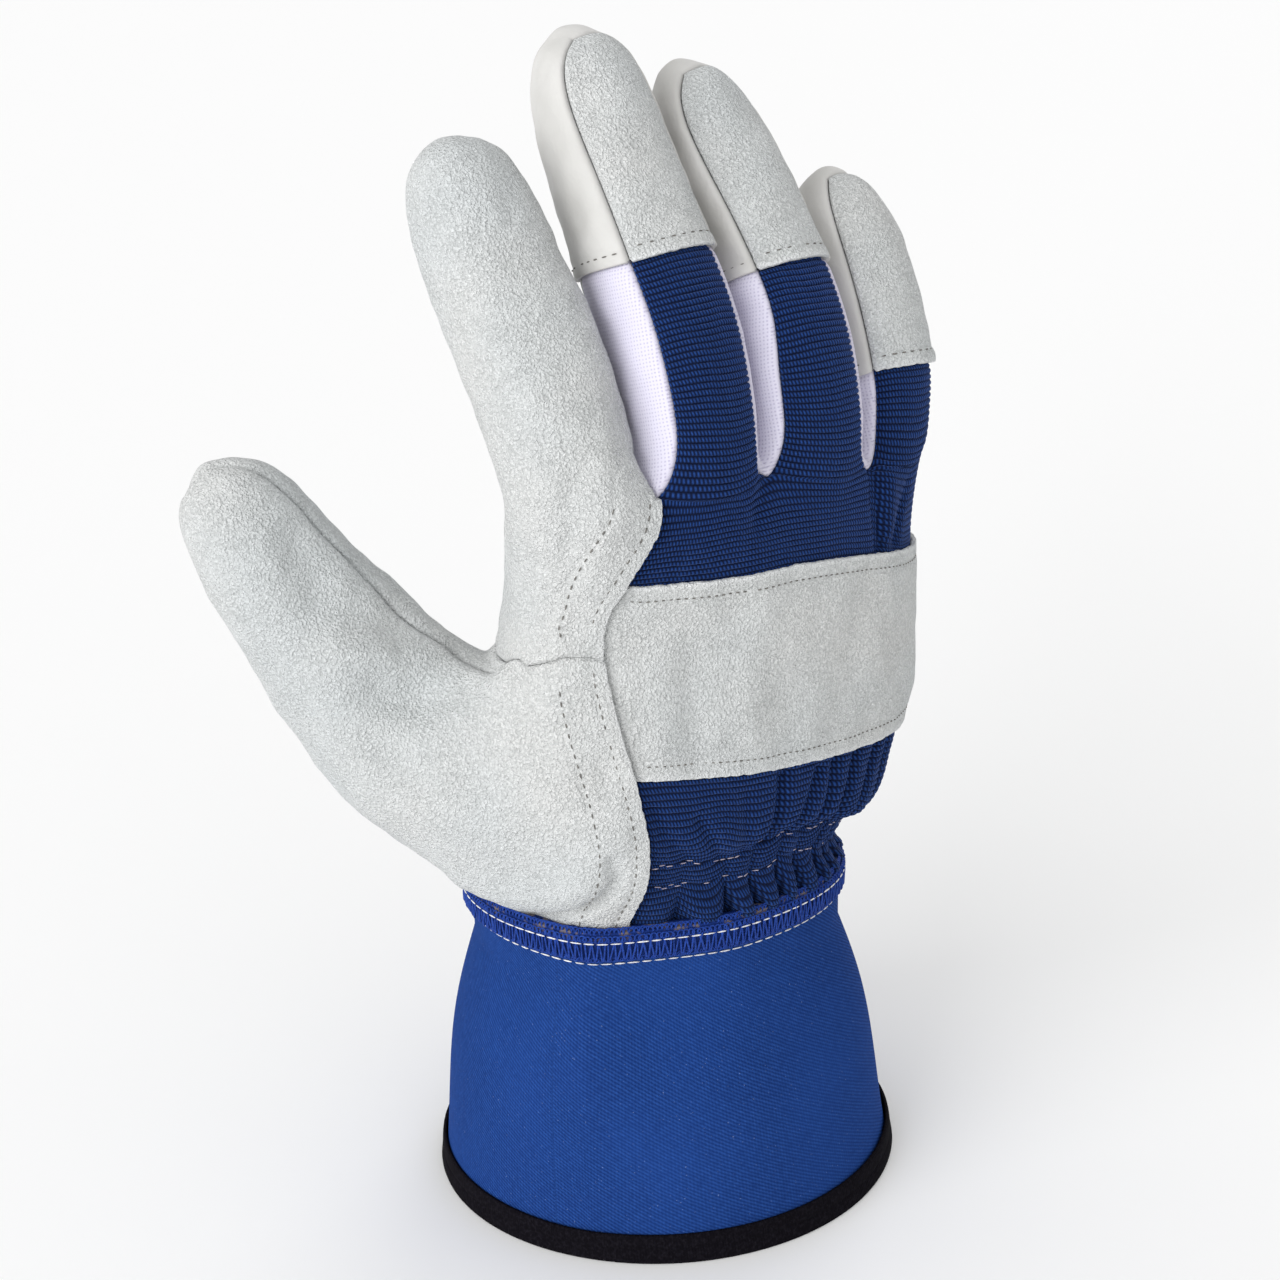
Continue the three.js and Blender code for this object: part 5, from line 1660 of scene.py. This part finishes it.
class GLOVE_OT_hem_binding(bpy.types.Operator):
    """Tape folded over the hem"""
    bl_idname = "glove.hem_binding"
    bl_label = "Hem binding"

    def execute(self, context):
        look = finish(woven_tape, context.scene.glove_colours)
        # Heights over the floor, and distances from the canvas's outer and inner face past the gap.
        outside = ((0.0, 0.35), (0.12, 0.62), (0.45, 0.78), (1.2, 0.82), (2.2, 0.8), (2.9, 0.7), (3.15, 0.56),
                   (3.4, 0.7), (4.2, 0.8), (5.3, 0.8), (6.1, 0.74), (6.42, 0.55), (6.5, 0.3), (6.45, 0),
                   (3.5, 0), (0.9, 0))
        inside = ((0.9, 0), (3.5, 0), (6.45, 0), (6.5, 0.4), (6.3, 0.75), (3.5, 0.8), (0.6, 0.8), (0.12, 0.6),
                  (0.0, 0.3))
        loops = [level_loop(z, CANVAS + GAP + off) for z, off in outside]
        loops += [level_loop(z, -GAP - off) for z, off in inside]
        piece = lofted("hem_tape", loops, look, loops[4], np.arange(len(loops)) * 0.5)
        place(piece, "hem_tape", "hem_binding")
        return {"FINISHED"}


class GLOVE_OT_overlock(bpy.types.Operator):
    """Overlocked edge round the wrist: the band, its slanted threads and the loops over its edge"""
    bl_idname = "glove.overlock"
    bl_label = "Overlocked edge"

    def execute(self, context):
        sizes, colours = context.scene.glove_sizes, context.scene.glove_colours
        face = OVERLOCK_FACE
        # Millimetres below the cuff's top and out from its inner face, and the share of the band's height.
        section = [(OVERLOCK_HEIGHT, face + 0.2, 0), (OVERLOCK_HEIGHT - 0.2, face + 0.45, 0.03),
                   (4.5, face + 0.55, 0.25), (2.6, face + 0.55, 0.5), (1.2, face + 0.45, 0.62),
                   (0.2, face + 0.15, 0.75), (-0.45, face - 0.5, 0.85), (-0.85, CANVAS * 0.55, 0.95),
                   (-1.0, 0.3, 1), (-0.95, -0.4, 1), (-0.55, -0.75, 0.9), (-0.42, -0.2, 0.8),
                   (-0.42, CANVAS, 0.8), (0.1, face, 0.7), (OVERLOCK_HEIGHT, face, 0)]
        loops = [band_loop(drop, height) for drop, height, _ in section]
        shares = [share for _, _, share in section]
        piece = lofted("overlocked_band", loops, overlocked_edge(), loops[3], shares)
        place(piece, "overlock_thread", "wrist_overlock")
        yarn = spun_thread("overlock_yarn", colours.overlock, linear("#12307c"), 0.05)
        runs = (("overlock_strands", 3.5, 0.6, self.strand(2.2), 1.0),
                ("overlock_chain", 5.9, 0.45, self.link(0.95, 0.42), 0.85),
                ("overlock_low_loops", 0.75, 0.45, self.link(0.75, 0.65), 0.75),
                ("overlock_edge_loops", -0.5, -0.35, self.link(0.95, 0.85), 0.66))
        for n, (name, drop, off, shape, closer) in enumerate(runs):
            template = linked(f"{name}_shape", shape)
            sew(name, [round_path(band_loop(drop, face + off))], loop_tree(name, yarn), "overlock_thread",
                Pitch=sizes.loop_pitch * closer, Loop=template, Seed=61 + n)
            bpy.data.objects.remove(template)
        return {"FINISHED"}

    def strand(self, half):
        """A thread that slants down the band and back up, in millimetres across, up and out."""
        path = [(-0.45, 1.1, -0.3), (-0.35, 1, 0.2), (-0.15, 0.4, 0.34), (0.1, -0.3, 0.34),
                (0.25, -0.85, 0.25), (0.4, -1, 0.1), (0.58, -0.85, 0.22), (0.75, -0.2, 0.32),
                (0.9, 0.5, 0.36), (1.05, 1, 0.2), (1.15, 1.1, -0.2)]
        return self.tube(np.array(path) * (1, half, 1), 0.2, False)

    def link(self, wide, high):
        """A small closed loop of thread."""
        path = [(wide * math.cos(a), high * math.sin(a), 0.12 + 0.16 * math.cos(2 * a))
                for a in np.linspace(0, 2 * math.pi, 11)[:-1]]
        return self.tube(path, 0.17, True)

    @staticmethod
    def tube(path, radius, closed, sides=5):
        """A thread of round section along a path, all in millimetres."""
        path = np.array(path)
        ahead = np.roll(path, -1, 0) - np.roll(path, 1, 0) if closed else np.gradient(path, axis=0)
        side = unit(np.cross(unit(ahead), (0.02, 0.03, 1.0)))
        up = np.cross(side, unit(ahead))
        turns = 2 * math.pi * np.arange(sides)[:, None] / sides
        points = [path[n] + radius * (np.cos(turns) * side[n] + np.sin(turns) * up[n])
                  for n in range(len(path))]
        ids = np.arange(len(path) * sides).reshape(-1, sides)
        after = np.roll(ids, -1, 0)
        cells = np.stack([ids, np.roll(ids, -1, 1), np.roll(after, -1, 1), after], -1)
        faces = (cells if closed else cells[:-1]).reshape(-1, 4).tolist()
        if not closed:
            faces += [ids[0, ::-1].tolist(), ids[-1].tolist()]
        mesh = mesh_of("loop_shape", np.concatenate(points), [], faces)
        mesh.shade_smooth()
        return mesh


class GLOVE_OT_seam_stitches(bpy.types.Operator):
    """Stitch rows along the leather's edges"""
    bl_idname = "glove.seam_stitches"
    bl_label = "Seam stitches"

    def execute(self, context):
        sizes, colours = context.scene.glove_sizes, context.scene.glove_colours
        if "knuckle_strap" not in _shared:
            raise RuntimeError("the leather panels and the strap come first")
        thread = spun_thread("seam_thread", colours.seam_thread, linear("#5a5856"), 0.0)
        rows = []
        for name in TWICE_SEWN:
            rows += seam_row(name, CLOTH, EDGE_ROW) + seam_row(name, CLOTH, FAR_ROW)
        for name in CAPS:
            rows += seam_row(name, CLOTH, CAP_ROW)
        for name in GUSSETS:
            rows += seam_row(name, FORKS, GUSSET_ROW)
        tree = stitch_tree("leather_stitches", thread)
        pitch = sizes.seam_pitch
        sew("leather_stitches", rows, tree, "suede", Pitch=pitch, Length=pitch * 0.5,
            Thread=sizes.thread * 0.75, Shown=0.97, Seed=71)
        sew("strap_stitches", seam_row("knuckle_strap", ("back_knit",), STRAP_ROW), tree, "suede",
            Pitch=pitch * 0.72, Length=pitch * 0.38, Thread=sizes.thread * 0.7, Shown=0.95, Seed=73)
        return {"FINISHED"}


class GLOVE_OT_cuff_stitches(bpy.types.Operator):
    """White stitch rows on and below the overlocked band"""
    bl_idname = "glove.cuff_stitches"
    bl_label = "Cuff stitches"

    def execute(self, context):
        sizes, colours = context.scene.glove_sizes, context.scene.glove_colours
        thread = spun_thread("white_thread", colours.white_thread, linear("#c9cbd2"), 0.1)
        rows = [round_path(smoothed(band_loop(drop, height), 4, True))
                for drop, height in ((1.6, OVERLOCK_FACE + 1.0), (7.4, CANVAS - 0.1))]
        sew("cuff_stitches", rows, stitch_tree("cuff_stitches", thread), "overlock_thread",
            Pitch=sizes.cuff_pitch, Length=sizes.cuff_pitch * 0.88, Thread=sizes.thread * 0.75, Shown=1.0,
            Seed=72)
        return {"FINISHED"}


class GLOVE_OT_stage(bpy.types.Operator):
    """Pale floor, soft light and the camera"""
    bl_idname = "glove.stage"
    bl_label = "Stage"

    FLOOR_HALF, FLOOR_DROP = 3000, 0.05
    LIGHTS = table("name place spread strength", [
        ("key", (-1150, -200, 380), 50, 2.55),
        ("front", (-700, -1100, 900), 60, 0.24),
        ("rim", (900, 500, 700), 40, 0.5),
    ])
    LIT = (-15, 0, 120)
    EYE, PITCH, AZIMUTH = (-294.25, -366.55, 317.0), 67.2, -38
    SENSOR, FOCAL = 36.0, 2513 / 1280

    def execute(self, context):
        scene = context.scene
        made, tree = material("matte_floor")
        shader = node(tree, "ShaderNodeBsdfPrincipled", {"Base Color": linear("#fbfbfb"), "Roughness": 0.9,
                                                         "Specular IOR Level": 0.1})
        node(tree, "ShaderNodeOutputMaterial", {"Surface": shader})
        corners = [(x * self.FLOOR_HALF, y * self.FLOOR_HALF, -self.FLOOR_DROP)
                   for x, y in ((-1, -1), (1, -1), (1, 1), (-1, 1))]
        make_object("floor", corners, [(0, 1, 2, 3)], made, smooth=False)
        world = scene.world = bpy.data.worlds.new("studio")
        world.use_nodes = True
        world.node_tree.nodes.clear()
        sky = node(world.node_tree, "ShaderNodeBackground", {"Color": linear("#ffffff"), "Strength": 0.7})
        node(world.node_tree, "ShaderNodeOutputWorld", {0: sky})
        scene.view_settings.view_transform = "Standard"
        for light in self.LIGHTS:
            lamp = bpy.data.lights.new(light["name"], "SUN")
            lamp.angle = math.radians(light["spread"])
            lamp.energy = light["strength"]
            made = linked(light["name"], lamp)
            made.location = Vector(light["place"]) * MM
            made.rotation_euler = (Vector(self.LIT) * MM - made.location).to_track_quat("-Z", "Y").to_euler()
        lens = bpy.data.cameras.new("camera")
        lens.sensor_width = self.SENSOR
        lens.lens = self.FOCAL * self.SENSOR
        scene.camera = linked("camera", lens)
        scene.camera.location = Vector(self.EYE) * MM
        scene.camera.rotation_euler = Euler((math.radians(self.PITCH), 0, math.radians(self.AZIMUTH)))
        return {"FINISHED"}


# The operators in the order that main() calls them.
STEPS = (GLOVE_OT_stage, GLOVE_OT_leather_panels, GLOVE_OT_gussets, GLOVE_OT_forks, GLOVE_OT_back_knit,
         GLOVE_OT_elastic_rows, GLOVE_OT_strap, GLOVE_OT_cuff, GLOVE_OT_hem_binding, GLOVE_OT_overlock,
         GLOVE_OT_seam_stitches, GLOVE_OT_cuff_stitches)


class GLOVE_PT_panel(bpy.types.Panel):
    """The glove's pieces"""
    bl_idname = "GLOVE_PT_panel"
    bl_label = "Rigger glove"
    bl_space_type = "VIEW_3D"
    bl_region_type = "UI"
    bl_category = "Glove"

    def draw(self, context):
        for group_name in ("glove_sizes", "glove_colours"):
            settings = getattr(context.scene, group_name)
            box = self.layout.box()
            for name in settings.__annotations__:
                box.prop(settings, name)
        for step in STEPS:
            self.layout.operator(step.bl_idname)


CLASSES = (GloveSizes, GloveColours) + STEPS + (GLOVE_PT_panel,)


def register():
    for cls in CLASSES:
        bpy.utils.register_class(cls)
    bpy.types.Scene.glove_sizes = bpy.props.PointerProperty(type=GloveSizes)
    bpy.types.Scene.glove_colours = bpy.props.PointerProperty(type=GloveColours)


def unregister():
    del bpy.types.Scene.glove_colours
    del bpy.types.Scene.glove_sizes
    for cls in reversed(CLASSES):
        bpy.utils.unregister_class(cls)


def main():
    register()
    for step in STEPS:
        name = step.bl_idname.split(".")[1]
        getattr(bpy.ops.glove, name)()


if __name__ == "__main__":
    main()
